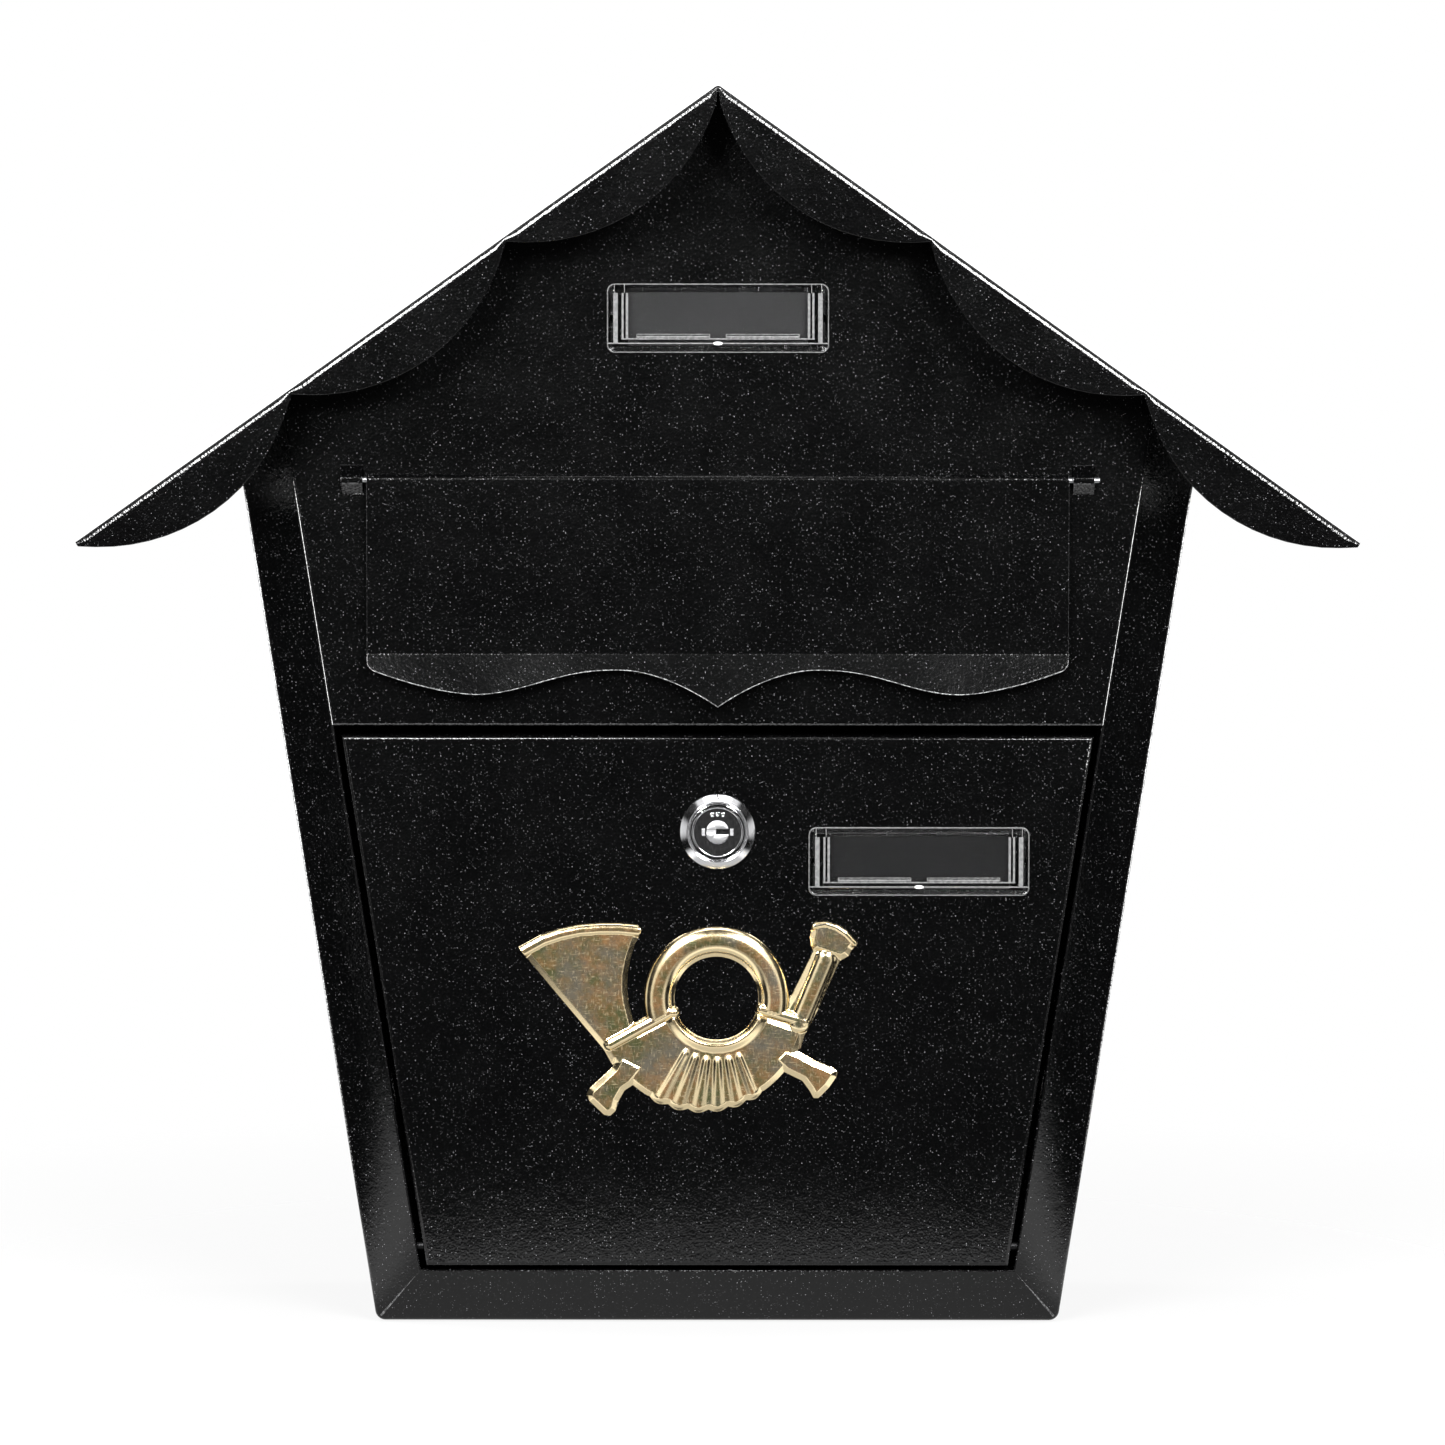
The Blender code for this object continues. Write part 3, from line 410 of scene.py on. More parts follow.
def soften(obj, width=0.12 * MM, segments=2, angle=40.0, bevel=True):
    """Breaks the sharp edges and shades the rest smooth."""
    if bevel:
        break_edges(obj, width, segments, angle)
        settle(obj)
    obj.data.shade_smooth()
    obj.data.set_sharp_from_angle(angle=math.radians(angle))
    modify(obj, "flat_faces_stay_flat", "WEIGHTED_NORMAL", keep_sharp=True, weight=100)
    return obj


def paint_wear_and_light(obj, wear_and_painted_light):
    """Says how much lighter each face of a coated piece is painted, from its centre and normal: partly
    wear, partly painted highlight and painted light.
    """
    shares = [wear_and_painted_light(polygon.center, polygon.normal) for polygon in obj.data.polygons]
    obj.data.attributes.new("bare_and_painted_light", "FLOAT", "FACE").data.foreach_set("value", shares)


def fit_out(obj, body, slot, material, *nodes):
    """Gives a piece its material and says which body it rides on and which CAD nodes it stands for."""
    obj.data.materials.clear()
    obj.data.materials.append(material)
    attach(obj, body)
    if nodes:
        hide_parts(*nodes)
    return obj


def keep_node(node, material, bevel=0.15 * MM):
    """A CAD node whose shape is right: broken edges and a finished material."""
    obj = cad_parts[node]
    modify(obj, "joined_corners", "WELD", merge_threshold=1e-6)
    break_edges(obj, bevel, 2, 40.0)
    modify(obj, "flat_faces_stay_flat", "WEIGHTED_NORMAL", keep_sharp=False)
    for polygon in obj.data.polygons:
        polygon.use_smooth = True
    obj.data.materials.clear()
    obj.data.materials.append(material)


# ---------------- materials


class Nodes:
    """Short names for building the nodes of a material or a world."""

    def __init__(self, owner):
        self.owner = owner
        owner.use_nodes = True
        self.tree = owner.node_tree
        self.shader = self.tree.nodes.get("Principled BSDF")
        self.coordinates = self.make("TexCoord").outputs
        self.place = self.coordinates["Object"]

    def make(self, kind, links=None, **settings):
        node = self.tree.nodes.new("ShaderNode" + kind)
        for key, value in settings.items():
            setattr(node, key, value)
        for socket, value in (links or {}).items():
            self.put(node.inputs[socket], value)
        return node

    def put(self, socket, value):
        if isinstance(value, bpy.types.NodeSocket):
            self.tree.links.new(value, socket)
        else:
            socket.default_value = value

    def set(self, **values):
        for key, value in values.items():
            self.put(self.shader.inputs[key.replace("_", " ")], value)

    def noise(self, scale, detail=2.0, roughness=0.5, place=None):
        links = {"Vector": place or self.place, "Scale": scale, "Detail": detail}
        links["Roughness"] = roughness
        return self.make("TexNoise", links).outputs["Fac"]

    def cells(self, scale, output="Color"):
        links = {"Vector": self.place, "Scale": scale}
        return self.make("TexVoronoi", links).outputs[output]

    def math(self, operation, *values):
        return self.make("Math", dict(enumerate(values)), operation=operation).outputs[0]

    def spread(self, noise_value, lowest, highest):
        """The middle part of a noise, spread between two values."""
        return self.remap(noise_value, 0.3, 0.7, lowest, highest)

    def stretched(self, scales):
        return self.make("Mapping", {"Vector": self.place, "Scale": scales}).outputs["Vector"]

    def shader_mix(self, factor, first, second):
        links = {0: factor, 1: first.outputs[0], 2: second.outputs[0]}
        return self.make("MixShader", links)

    def finish(self, surface):
        output = next(n for n in self.tree.nodes if n.type.startswith("OUTPUT"))
        self.put(output.inputs["Surface"], surface.outputs[0])

    def remap(self, value, low_in, high_in, low_out, high_out):
        links = {"Value": value, "From Min": low_in, "From Max": high_in}
        links["To Min"] = low_out
        links["To Max"] = high_out
        return self.make("MapRange", links).outputs["Result"]

    def soft_step(self, value, edges):
        """From 0 at the first edge to 1 at the second."""
        links = {"Value": value, "From Min": edges[0], "From Max": edges[1]}
        return self.make("MapRange", links, interpolation_type="SMOOTHSTEP").outputs["Result"]

    def mix(self, factor, a, b):
        node = self.make("Mix", data_type="RGBA")
        self.put(node.inputs[0], factor)
        self.put(node.inputs[6], a)
        self.put(node.inputs[7], b)
        return node.outputs[2]

    def bump(self, height_value, strength, distance, normal=None):
        links = {"Height": height_value, "Strength": strength, "Distance": distance}
        if normal:
            links["Normal"] = normal
        return self.make("Bump", links).outputs["Normal"]


def material(name):
    return Nodes(bpy.data.materials.new(name))


def grey(value, blueness=1.0):
    return (value, value, value * blueness, 1)


def flecks(nodes, cell_scale, share, radius, gamma):
    """Round specks in some of the cells of a 3-D grid: up to 1 in the middle of a speck, 0 outside."""
    colour = nodes.make("SeparateColor", {"Color": nodes.cells(cell_scale)}).outputs
    chosen = nodes.remap(colour["Red"], 1 - share, 1.0, 0.0, 1.0)
    power = nodes.math("POWER", chosen, gamma)
    near = nodes.remap(nodes.cells(cell_scale, "Distance"), radius * 0.55, radius, 1.0, 0.0)
    return nodes.math("MULTIPLY", power, near)


def powder_coat():
    """Glossy black coating with a silver sparkle and a leathery grain, painted lighter on some faces:
    partly uncoated metal on cut edges, partly painted highlights and painted light.
    """
    nodes = material("black_powder_coat")
    coarse = flecks(nodes, 1700.0, 0.25, 0.24, 1.2)
    fine = flecks(nodes, 2300.0, 0.40, 0.36, 2.0)
    glint = nodes.math("ADD", coarse, nodes.math("MULTIPLY", fine, 0.12))
    grain = nodes.remap(nodes.noise(1900.0, 3.0, 0.7), 0.32, 0.68, 0.0, 1.0)
    base = nodes.mix(grain, (0.0001, 0.0001, 0.0001, 1), (0.0010, 0.0010, 0.0011, 1))
    sparkling = nodes.mix(glint, base, (0.25, 0.25, 0.26, 1))
    # How much lighter each face is painted: partly uncoated metal on cut edges, partly painted highlight
    # and painted light.
    wear_and_painted_light = nodes.make("Attribute", attribute_name="bare_and_painted_light").outputs["Fac"]
    patches = nodes.remap(nodes.noise(1300.0, 2.0, 0.6), 0.40, 0.62, 0.15, 1.0)
    bare_and_painted_light = nodes.math("MULTIPLY", wear_and_painted_light, patches)
    nodes.set(Base_Color=nodes.mix(bare_and_painted_light, sparkling, (0.78, 0.78, 0.79, 1)))
    nodes.set(Roughness=nodes.spread(nodes.noise(60.0), 0.13, 0.17))
    peel = nodes.bump(nodes.noise(420.0, 1.0, 0.5), 0.12, 0.0005)
    nodes.set(Normal=nodes.bump(nodes.noise(1500.0, 1.0, 0.5), 0.15, 0.0005, peel))
    nodes.set(IOR=1.5)
    return nodes.owner


def mottled(name, scales, detail, colours, roughness, bump, **settings):
    """A material whose colour, roughness and fine relief follow one noise, scaled along each axis."""
    nodes = material(name)
    mottle = nodes.noise(1.0, *detail, nodes.stretched(scales))
    nodes.set(Base_Color=nodes.mix(mottle, *colours), Roughness=nodes.spread(mottle, *roughness))
    nodes.set(Normal=nodes.bump(mottle, *bump), **settings)
    return nodes.owner


def chrome():
    """Polished chrome with faint hairlines."""
    scales = (2500.0, 300.0, 700.0)
    colours = ((0.80, 0.80, 0.82, 1), (0.90, 0.90, 0.91, 1))
    relief = (0.04, 0.0003)
    return mottled("chrome_plate", scales, (3.0, 0.6), colours, (0.09, 0.17), relief, Metallic=1.0)


def zinc(name, darkest, palest):
    """Zinc plate, bright or blackened, with a fine mottle."""
    nodes = material(name)
    mottle = nodes.noise(500.0, 4.0, 0.6)
    nodes.set(Base_Color=nodes.mix(mottle, grey(darkest, 1.03), grey(palest, 1.03)))
    nodes.set(Metallic=1.0, Roughness=nodes.spread(mottle, 0.24, 0.40))
    nodes.set(Normal=nodes.bump(nodes.noise(2500.0), 0.08, 0.0002))
    return nodes.owner


def brushed_steel():
    """Pale steel with a coarse brushed finish."""
    scales = (400.0, 400.0, 4000.0)
    colours = ((0.42, 0.42, 0.43, 1), (0.62, 0.62, 0.63, 1))
    relief = (0.06, 0.0002)
    return mottled("brushed_steel", scales, (3.0, 0.6), colours, (0.38, 0.50), relief, Metallic=1.0)


def gold():
    """Gold plate: bright on the rounded parts; the flats facing the front are clouded, scratched and
    painted darker, partly as a patina and partly as a painted dark reflection.
    """
    nodes = material("gold_plate")
    normal = nodes.make("TexCoord").outputs["Normal"]
    facing = nodes.make("SeparateXYZ", {"Vector": normal}).outputs["Y"]
    # Flats facing the front are painted darker: partly patina, partly a painted dark reflection of the
    # dim room ahead.
    flat = nodes.remap(nodes.math("ABSOLUTE", facing), 0.945, 0.985, 0.0, 1.0)
    cloud = nodes.remap(nodes.noise(110.0, 5.0, 0.75), 0.40, 0.62, 0.0, 1.0)
    grey = nodes.remap(nodes.noise(75.0, 5.0, 0.7), 0.46, 0.66, 0.0, 1.0)
    warm = nodes.mix(cloud, (0.085, 0.088, 0.036, 1), (0.260, 0.145, 0.062, 1))
    patina_and_dark_reflection = nodes.mix(grey, warm, (0.135, 0.120, 0.090, 1))
    upright = nodes.noise(1.0, 2.0, 0.6, nodes.stretched((3000.0, 1.0, 500.0)))
    level = nodes.noise(1.0, 2.0, 0.6, nodes.stretched((450.0, 1.0, 2600.0)))
    scratches = nodes.remap(nodes.math("MAXIMUM", upright, level), 0.58, 0.72, 0.0, 1.0)
    rubbed = nodes.mix(nodes.math("MULTIPLY", scratches, 0.5), patina_and_dark_reflection, (0.75, 0.62, 0.40, 1))
    nodes.set(Base_Color=nodes.mix(flat, (1.0, 0.82, 0.50, 1), rubbed))
    nodes.set(Metallic=nodes.remap(flat, 0.0, 1.0, 1.0, 0.7))
    polish = nodes.spread(nodes.noise(500.0, 3.0, 0.6), 0.13, 0.19)
    nodes.set(Roughness=nodes.math("ADD", polish, nodes.math("MULTIPLY", flat, 0.12)))
    nodes.set(Normal=nodes.bump(nodes.noise(500.0, 3.0, 0.6), 0.06, 0.0003))
    return nodes.owner


def clear_plastic():
    """Clear moulded plastic with faint flow marks, which lets light through to its card."""
    nodes = material("clear_plastic")
    flow = nodes.noise(250.0, 3.0, 0.6)
    nodes.set(Base_Color=nodes.mix(flow, (0.95, 0.96, 0.97, 1), (1.0, 1.0, 1.0, 1)))
    nodes.set(Roughness=nodes.spread(flow, 0.01, 0.03))
    nodes.set(Normal=nodes.bump(flow, 0.03, 0.0004))
    nodes.set(Transmission_Weight=1.0, IOR=1.49)
    in_shadow = nodes.make("LightPath").outputs["Is Shadow Ray"]
    open_to_light = nodes.make("BsdfTransparent")
    nodes.finish(nodes.shader_mix(in_shadow, nodes.shader, open_to_light))
    return nodes.owner


def frosted_plastic(name, darkest, palest):
    """The ribs and rims of the clear covers, where the moulding scatters the light."""
    colours = (grey(darkest), grey(palest))
    return mottled(name, (900.0,) * 3, (3.0, 0.6), colours, (0.20, 0.34), (0.08, 0.0003), IOR=1.49)


def card(name, tone):
    """Blank card of a given grey with paper grain."""
    colours = (grey(tone * 0.6), grey(tone * 1.4, 1.02))
    matt = {"Specular_IOR_Level": 0.02}
    return mottled(name, (1800.0,) * 3, (4.0, 0.7), colours, (0.55, 0.75), (0.1, 0.0003), **matt)


COAT = powder_coat()
CHROME = chrome()
ZINC = zinc("zinc_plate", 0.50, 0.70)
BLACK_ZINC = zinc("black_zinc_plate", 0.015, 0.030)
GOLD = gold()
BRUSHED = brushed_steel()
CLEAR = clear_plastic()
FROSTED = frosted_plastic("frosted_plastic", 0.08, 0.18)
NIB = frosted_plastic("frosted_nib", 0.7, 0.9)
CARDS = {"upper": card("grey_card", 0.010), "lower": card("dark_card", 0.004)}


# ---------------- casing


def scallop_depths():
    """Travel down a slope and flange depth at each station from the ridge to the tip."""
    chord = ROOF_HALF_WIDTH / math.cos(ROOF_ANGLE) / SCALLOPS
    scallop = arc_between((0.0, 0.0), (chord, 0.0), SCALLOP_SAGITTA, SCALLOP_SEGMENTS)
    stations = []
    for k in range(SCALLOPS):
        stations += [(k * chord + p.x, CUSP_DEPTH - p.y) for p in scallop[1:]]
    return stations


def make_roof():
    """Two slopes bent at the ridge, with a scalloped flange bent down along the front."""
    along = Vector((math.cos(ROOF_ANGLE), -math.sin(ROOF_ANGLE)))
    inwards = Vector((-math.sin(ROOF_ANGLE), -math.cos(ROOF_ANGLE)))

    def section(flange):
        """The sheet's section at a flange depth; a short flange ends part of the way round the bend."""
        end = flange - SHEET / 2
        turn = math.acos(max(1 - end / ROOF_BEND, 0.0))
        path = [(Vector((0.0, -SHEET / 2)), Vector((1.0, 0.0)))]
        for k in range(9):
            angle = turn * k / 8
            normal = Vector((math.cos(angle), math.sin(angle)))
            path.append((Vector((ROOF_BEND, ROOF_BEND - ROOF_DEPTH)) - normal * ROOF_BEND, normal))
        last, normal = path[-1]
        rest = max(end - ROOF_BEND, 0.02 * MM)
        path.append((last + rest * Vector((normal.y, -normal.x)), normal))
        return sheet_section(path, SHEET)

    right = []
    for travel, flange in scallop_depths():
        ring = []
        for depth, y in section(flange):
            p = along * travel + inwards * depth
            ring.append((p.x, y, APEX_Z + p.y))
        right.append(ring)
    ridge = []
    centre = -RIDGE_BEND / math.cos(ROOF_ANGLE)
    for k in range(-3, 4):
        angle = ROOF_ANGLE * k / 3
        ring = []
        for depth, y in section(CUSP_DEPTH):
            if depth < RIDGE_BEND:
                reach = RIDGE_BEND - depth
                ring.append((reach * math.sin(angle), y, APEX_Z + centre + reach * math.cos(angle)))
            else:
                ring.append((0.0, y, APEX_Z - depth / math.cos(ROOF_ANGLE)))
        ridge.append(ring)
    left = [[(-x, y, z) for x, y, z in ring] for ring in reversed(right)]
    roof = soften(skin("roof_sheet", left + ridge + right))
    return fit_out(roof, "housing", "black_powder_coat", COAT, "roof")


def pin_holes(reach):
    """A cutter for the holes of the door's hinge pins, on both sides."""
    ends = ((PIN_HOLE, -reach), (PIN_HOLE, reach))
    return turned_along_x("pin_holes", ends, PIVOT_Y, PIVOT_Z)


def make_body_shell():
    """One strip bent round both sides and the bottom, with a slanted front corner and a jamb."""
    corners = [
        (BACK_FLANGE - SHEET / 2, BACK_FLANGE_Y),
        (0.0, BACK_FLANGE_Y),
        (0.0, BEVEL_Y),
        (OPENING_INSET, FRONT_Y),
        (OPENING_INSET, JAMB_REAR_Y - SHEET / 2),
    ]
    section = sheet_section(bent_path(corners, [1.5 * MM, 2.0 * MM, 0.5 * MM]), SHEET)
    top = []
    for inset, y in section:
        x, z = top_corner(inset, SHELL_TOP_GAP)
        top.append((x, y, z))
    turns = []
    centre = Vector(bottom_corner(BOTTOM_CORNER))
    steps = 8
    for k in range(steps + 1):
        angle = -TAPER_ANGLE + (TAPER_ANGLE - math.pi / 2) * k / steps
        outwards = Vector((math.cos(angle), math.sin(angle)))
        ring = []
        for inset, y in section:
            p = Vector(bottom_corner(inset))
            if inset < BOTTOM_CORNER:
                p = centre + outwards * (BOTTOM_CORNER - inset)
            ring.append((p.x, y, p.y))
        turns.append(ring)
    right = [top] + turns
    left = [[(-x, y, z) for x, y, z in ring] for ring in right]
    shell = skin("body_shell_sheet", left + list(reversed(right)))
    reach = side_x(APEX_Z - PIVOT_Z, OPENING_INSET) + 3 * MM
    cut(shell, pin_holes(reach))
    soften(shell, width=0.25 * MM, angle=28)
    inner = Vector(bottom_corner(OPENING_INSET))
    outer = Vector(bottom_corner(BOTTOM_CORNER))
    way = (outer - inner).normalized()

    def wear_and_painted_light(centre, normal):
        """Painted highlight along the mitre between the slanted front corners of a side and of the
        bottom.
        """
        offset = Vector((abs(centre.x), centre.z)) - inner
        share = offset.dot(way) / (outer - inner).length
        off_line = (offset - way * offset.dot(way)).length
        on_mitre = off_line < 0.22 * MM and 0.0 < share < 1.0 and centre.y < BEVEL_Y + MM
        return MITRE_PAINTED_HIGHLIGHT if on_mitre and normal.y < -0.3 else 0.0

    paint_wear_and_light(shell, wear_and_painted_light)
    return fit_out(shell, "housing", "black_powder_coat", COAT, "body_shell")


def peg_places(cover):
    """The middles of the two pegs of a name plate cover."""
    x, _, z = middle(cover)
    return [(x - PEG_X, z), (x + PEG_X, z)]


def hole(name, radius, x, z):
    """A cutter for a round hole through a front sheet."""
    ends = ((radius, FRONT_Y - 2 * MM), (radius, FRONT_Y + 3 * MM))
    return turned(name, ends, x, z, segments=32)


def make_front_panel():
    """Pressed panel with a gable top, the mail slot and two eyes lanced out round the hinge rod."""
    inset = OPENING_INSET + WELD_GAP
    bottom_x = side_x(APEX_Z - PANEL_BOTTOM_Z, inset)
    right_half = [(bottom_x, PANEL_BOTTOM_Z), top_corner(inset, WELD_GAP)]
    outline = mirrored(right_half + [(0.0, height(under_roof(0, WELD_GAP)))])
    panel = tray("front_panel_sheet", outline, FRONT_Y, PANEL_FLANGE, THIN_SHEET, PANEL_BEND)
    slot = rounded_rectangle(-SLOT_X, SLOT_X, height(SLOT_LOWEST), height(SLOT_HIGHEST), 2 * MM)
    cut(panel, prism("slot", slot, FRONT_Y - MM, FRONT_Y + 2 * MM))
    for side in (-1, 1):
        inner, outer = sorted((side * EYE_INNER_X, side * EYE_OUTER_X))
        gap = EYE_HALF_HEIGHT - THIN_SHEET
        window = rectangle(inner - 0.2 * MM, outer + 0.2 * MM, HINGE_Z - gap, HINGE_Z + gap)
        cut(panel, prism("eye_gap", window, FRONT_Y - MM, FRONT_Y + 2 * MM))
        foot = FRONT_Y + THIN_SHEET / 2
        crest = FRONT_Y - EYE_PROUD
        corners = [
            (foot, HINGE_Z + EYE_HALF_HEIGHT),
            (crest, HINGE_Z + EYE_CREST),
            (crest, HINGE_Z - EYE_CREST),
            (foot, HINGE_Z - EYE_HALF_HEIGHT),
        ]
        arch = bent_path(corners, [1.0 * MM, 1.0 * MM])
        outline = [p for p, n in arch] + [p + n * THIN_SHEET for p, n in reversed(arch)]
        add(panel, skin("eye", [[(x, p.x, p.y) for p in outline] for x in (inner, outer)]))
    for x, z in peg_places("upper_nameplate_cover"):
        cut(panel, hole("peg_hole", PEG_HOLE, x, z))
    soften(panel)

    def wear_and_painted_light(centre, normal):
        """Painted light on the undersides of the eyes, which face down towards the floor."""
        return EYE_UNDERSIDE_PAINTED_LIGHT if normal.z < -0.3 and centre.y < FRONT_Y - 0.2 * MM else 0.0

    paint_wear_and_light(panel, wear_and_painted_light)
    return fit_out(panel, "housing", "black_powder_coat", COAT, "front_panel")


# ---------------- flap


def wave_below_hinge(x):
    """How far the flap's lower edge lies below its hinge: a point, a trough and a lobe on each side."""
    x = abs(x)
    if x < TROUGH_X:
        return TROUGH_BELOW + (POINT_BELOW - TROUGH_BELOW) * (1 - x / TROUGH_X) ** 1.8
    if x < LOBE_X:
        share = (1 - math.cos(math.pi * (x - TROUGH_X) / (LOBE_X - TROUGH_X))) / 2
        return TROUGH_BELOW + (LOBE_BELOW - TROUGH_BELOW) * share**1.25
    share = (x - LOBE_X) / (FLAP_HALF_WIDTH - LOBE_X)
    into_corner = min(max(x - FLAP_HALF_WIDTH + FLAP_CORNER, 0.0), FLAP_CORNER)
    rounding = FLAP_CORNER - math.sqrt(FLAP_CORNER**2 - into_corner**2)
    return LOBE_BELOW - CORNER_RISE * share**1.6 - rounding


def make_flap():
    """One sheet rolled into a knuckle, flat below it and bent out at its wavy lip."""
    face = HINGE_Y - KNUCKLE_RADIUS
    roll = []
    steps = 20
    for i in range(steps + 1):
        angle = math.pi - KNUCKLE_TURN * (1 - i / steps)
        outwards = Vector((math.cos(angle), math.sin(angle)))
        roll.append((Vector((HINGE_Y, HINGE_Z)) + outwards * KNUCKLE_RADIUS, -outwards))
    rings = []
    straight = FLAP_HALF_WIDTH - FLAP_CORNER
    half = [straight * i / 80 for i in range(1, 81)]
    half += [straight + FLAP_CORNER * math.sin(math.radians(15 * i)) for i in range(1, 7)]
    for x in [-x for x in reversed(half)] + [0.0] + half:
        reach = wave_below_hinge(x) - FLAP_FOLD - FLAP_SHEET / 2
        corners = [
            (face, HINGE_Z - KNUCKLE_RADIUS),
            (face, HINGE_Z - FLAP_FOLD),
            (face - reach * math.tan(LIP_ANGLE), HINGE_Z - FLAP_FOLD - reach),
        ]
        lower = bent_path(corners, [FLAP_FOLD_BEND], segments=4)
        rings.append([(x, p.x, p.y) for p in sheet_section(roll + lower, FLAP_SHEET)])
    flap = soften(skin("flap_sheet", rings))

    def wear_and_painted_light(centre, normal):
        """The cut edges, painted lighter as rubbed metal and as a painted highlight: the wavy one much,
        the sides a little.
        """
        lower_edge = HINGE_Z - wave_below_hinge(centre.x) + 0.2 * MM
        cut_side = abs(centre.x) > FLAP_HALF_WIDTH - 0.1 * MM
        return LIP_WEAR_AND_HIGHLIGHT if centre.z < lower_edge else FLAP_SIDE_WEAR_AND_HIGHLIGHT if cut_side else 0.0

    paint_wear_and_light(flap, wear_and_painted_light)
    fit_out(flap, "flap", "black_powder_coat", COAT, "flap")

    left = -EYE_OUTER_X - 0.3 * MM
    right = high("flap_hinge_rod").x
    ends = [(0.45 * MM, left), (ROD_RADIUS, left + 0.3 * MM)]
    ends += [(ROD_RADIUS, right - 0.5 * MM), (0.35 * MM, right)]
    rod = soften(turned_along_x("hinge_rod", ends, HINGE_Y, HINGE_Z), angle=60, bevel=False)
    fit_out(rod, "flap", "zinc_plate", ZINC, "flap_hinge_rod")


# ---------------- door


def stud_places():
    """Where the emblem's studs pass through the door: the middles of their clips."""
    return [middle("emblem_clip_" + side)[::2] for side in ("left", "right")]


def make_door():
    """Pressed door with holes for the lock, the pins, the emblem's studs and the lower name plate."""
    inset = OPENING_INSET + DOOR_GAP
    right_half = [(side_x(APEX_Z - z, inset), z) for z in (low("door").z, high("door").z)]
    door = tray("door_sheet", mirrored(right_half), FRONT_Y, DOOR_FLANGE, THIN_SHEET, DOOR_BEND)
    cut(door, hole("lock_hole", 9.25 * MM, 0.0, LOCK_Z))
    for x, z in stud_places():
        cut(door, hole("stud_hole", PEG_HOLE, x, z))
    for x, z in peg_places("lower_nameplate_cover"):
        cut(door, hole("peg_hole", PEG_HOLE, x, z))
    reach = high("door").x
    cut(door, pin_holes(reach))
    return fit_out(soften(door), "door", "black_powder_coat", COAT, "door")


# ---------------- cam lock


# Tables of radii and of depths behind a named level, in millimetres.
BEZEL_FLANK = [(8.4, 0.0), (10.85, 0.0), (11.0, -0.15), (11.0, -0.7), (10.8, -0.95)]
BEZEL_CROWN = [(9.05, 0.12), (8.85, 0.0), (8.6, 0.1), (8.5, 0.9), (8.2, 0.95)]
BEZEL_CROWN += [(8.15, 0.5), (8.0, 0.45), (7.95, 0.6)]
PLUG_FACE = [(1.0, 0.25), (6.9, 0.25), (7.05, 0.2), (7.2, 0.02), (7.35, 0.0), (7.5, 0.05), (7.6, 0.25)]
PLUG_BED = [(3.55, -1.0), (3.5, 0.25), (3.4, 0.45), (0.02, 0.45)]
MARK_RING = [(0.62, 0.3), (0.62, 0.12), (0.5, 0.05), (0.36, 0.05), (0.26, 0.12), (0.26, 0.3)]
# Rectangles from the lock's axis, in millimetres: left, right, bottom, top, corner.
KEYWAY_ARMS = (-4.7, 4.7, -1.1, 1.1, 0.15)
KEYWAY_OPENING = (-0.5, 3.4, -0.7, 0.95, 0.1)
KEYWAY_DEPTH = 11 * MM
GUARD_FACE = 0.2 * MM
THREAD_PITCH = 1.0 * MM
BORE_FLOOR_Y = -70 * MM
BARREL_BORE = 5.3 * MM
MARKS_RADIUS = 5.3 * MM
MARKS_APART = 17


def behind(level, table):
    """A profile from a table of radii and of depths behind a level."""
    return [(radius * MM, level + depth * MM) for radius, depth in table]


def at_lock(left, right, bottom, top, corner):
    low_z, high_z = [LOCK_Z + z * MM for z in (bottom, top)]
    return rounded_rectangle(left * MM, right * MM, low_z, high_z, corner * MM, 2)


def make_lock_housing():
    """Bezel with a conical flank and a V mark at the top, and a threaded barrel through the door."""
    seat = FRONT_Y - GAP
    crown = LOCK_FRONT_Y
    profile = behind(LOCK_REAR_Y, [(8.3, 0.0), (8.75, -0.4)])
    y = LOCK_REAR_Y - THREAD_PITCH
    while y > seat + 2 * THREAD_PITCH:
        profile += behind(y, [(8.35, 0.5), (8.9, 0.08), (8.9, -0.08)])
        y -= THREAD_PITCH
    profile += behind(y, [(8.4, 0.5)]) + behind(seat, BEZEL_FLANK) + behind(crown, BEZEL_CROWN)
    bore = BEZEL_CROWN[-1][0] * MM
    profile += [(bore, BORE_FLOOR_Y), (BARREL_BORE, BORE_FLOOR_Y), (BARREL_BORE, LOCK_REAR_Y)]
    housing = turned("lock_bezel_and_barrel", profile, 0.0, LOCK_Z, bored=True, segments=128)
    mark = [(-0.75 * MM, LOCK_Z + 11.6 * MM), (0.0, LOCK_Z + 9.3 * MM), (0.75 * MM, LOCK_Z + 11.6 * MM)]
    cut(housing, prism("mark", mark, crown - MM, seat - 0.9 * MM))
    soften(housing, width=0.06 * MM, angle=35)
    return fit_out(housing, "door", "chrome_plate", CHROME, "lock_housing")


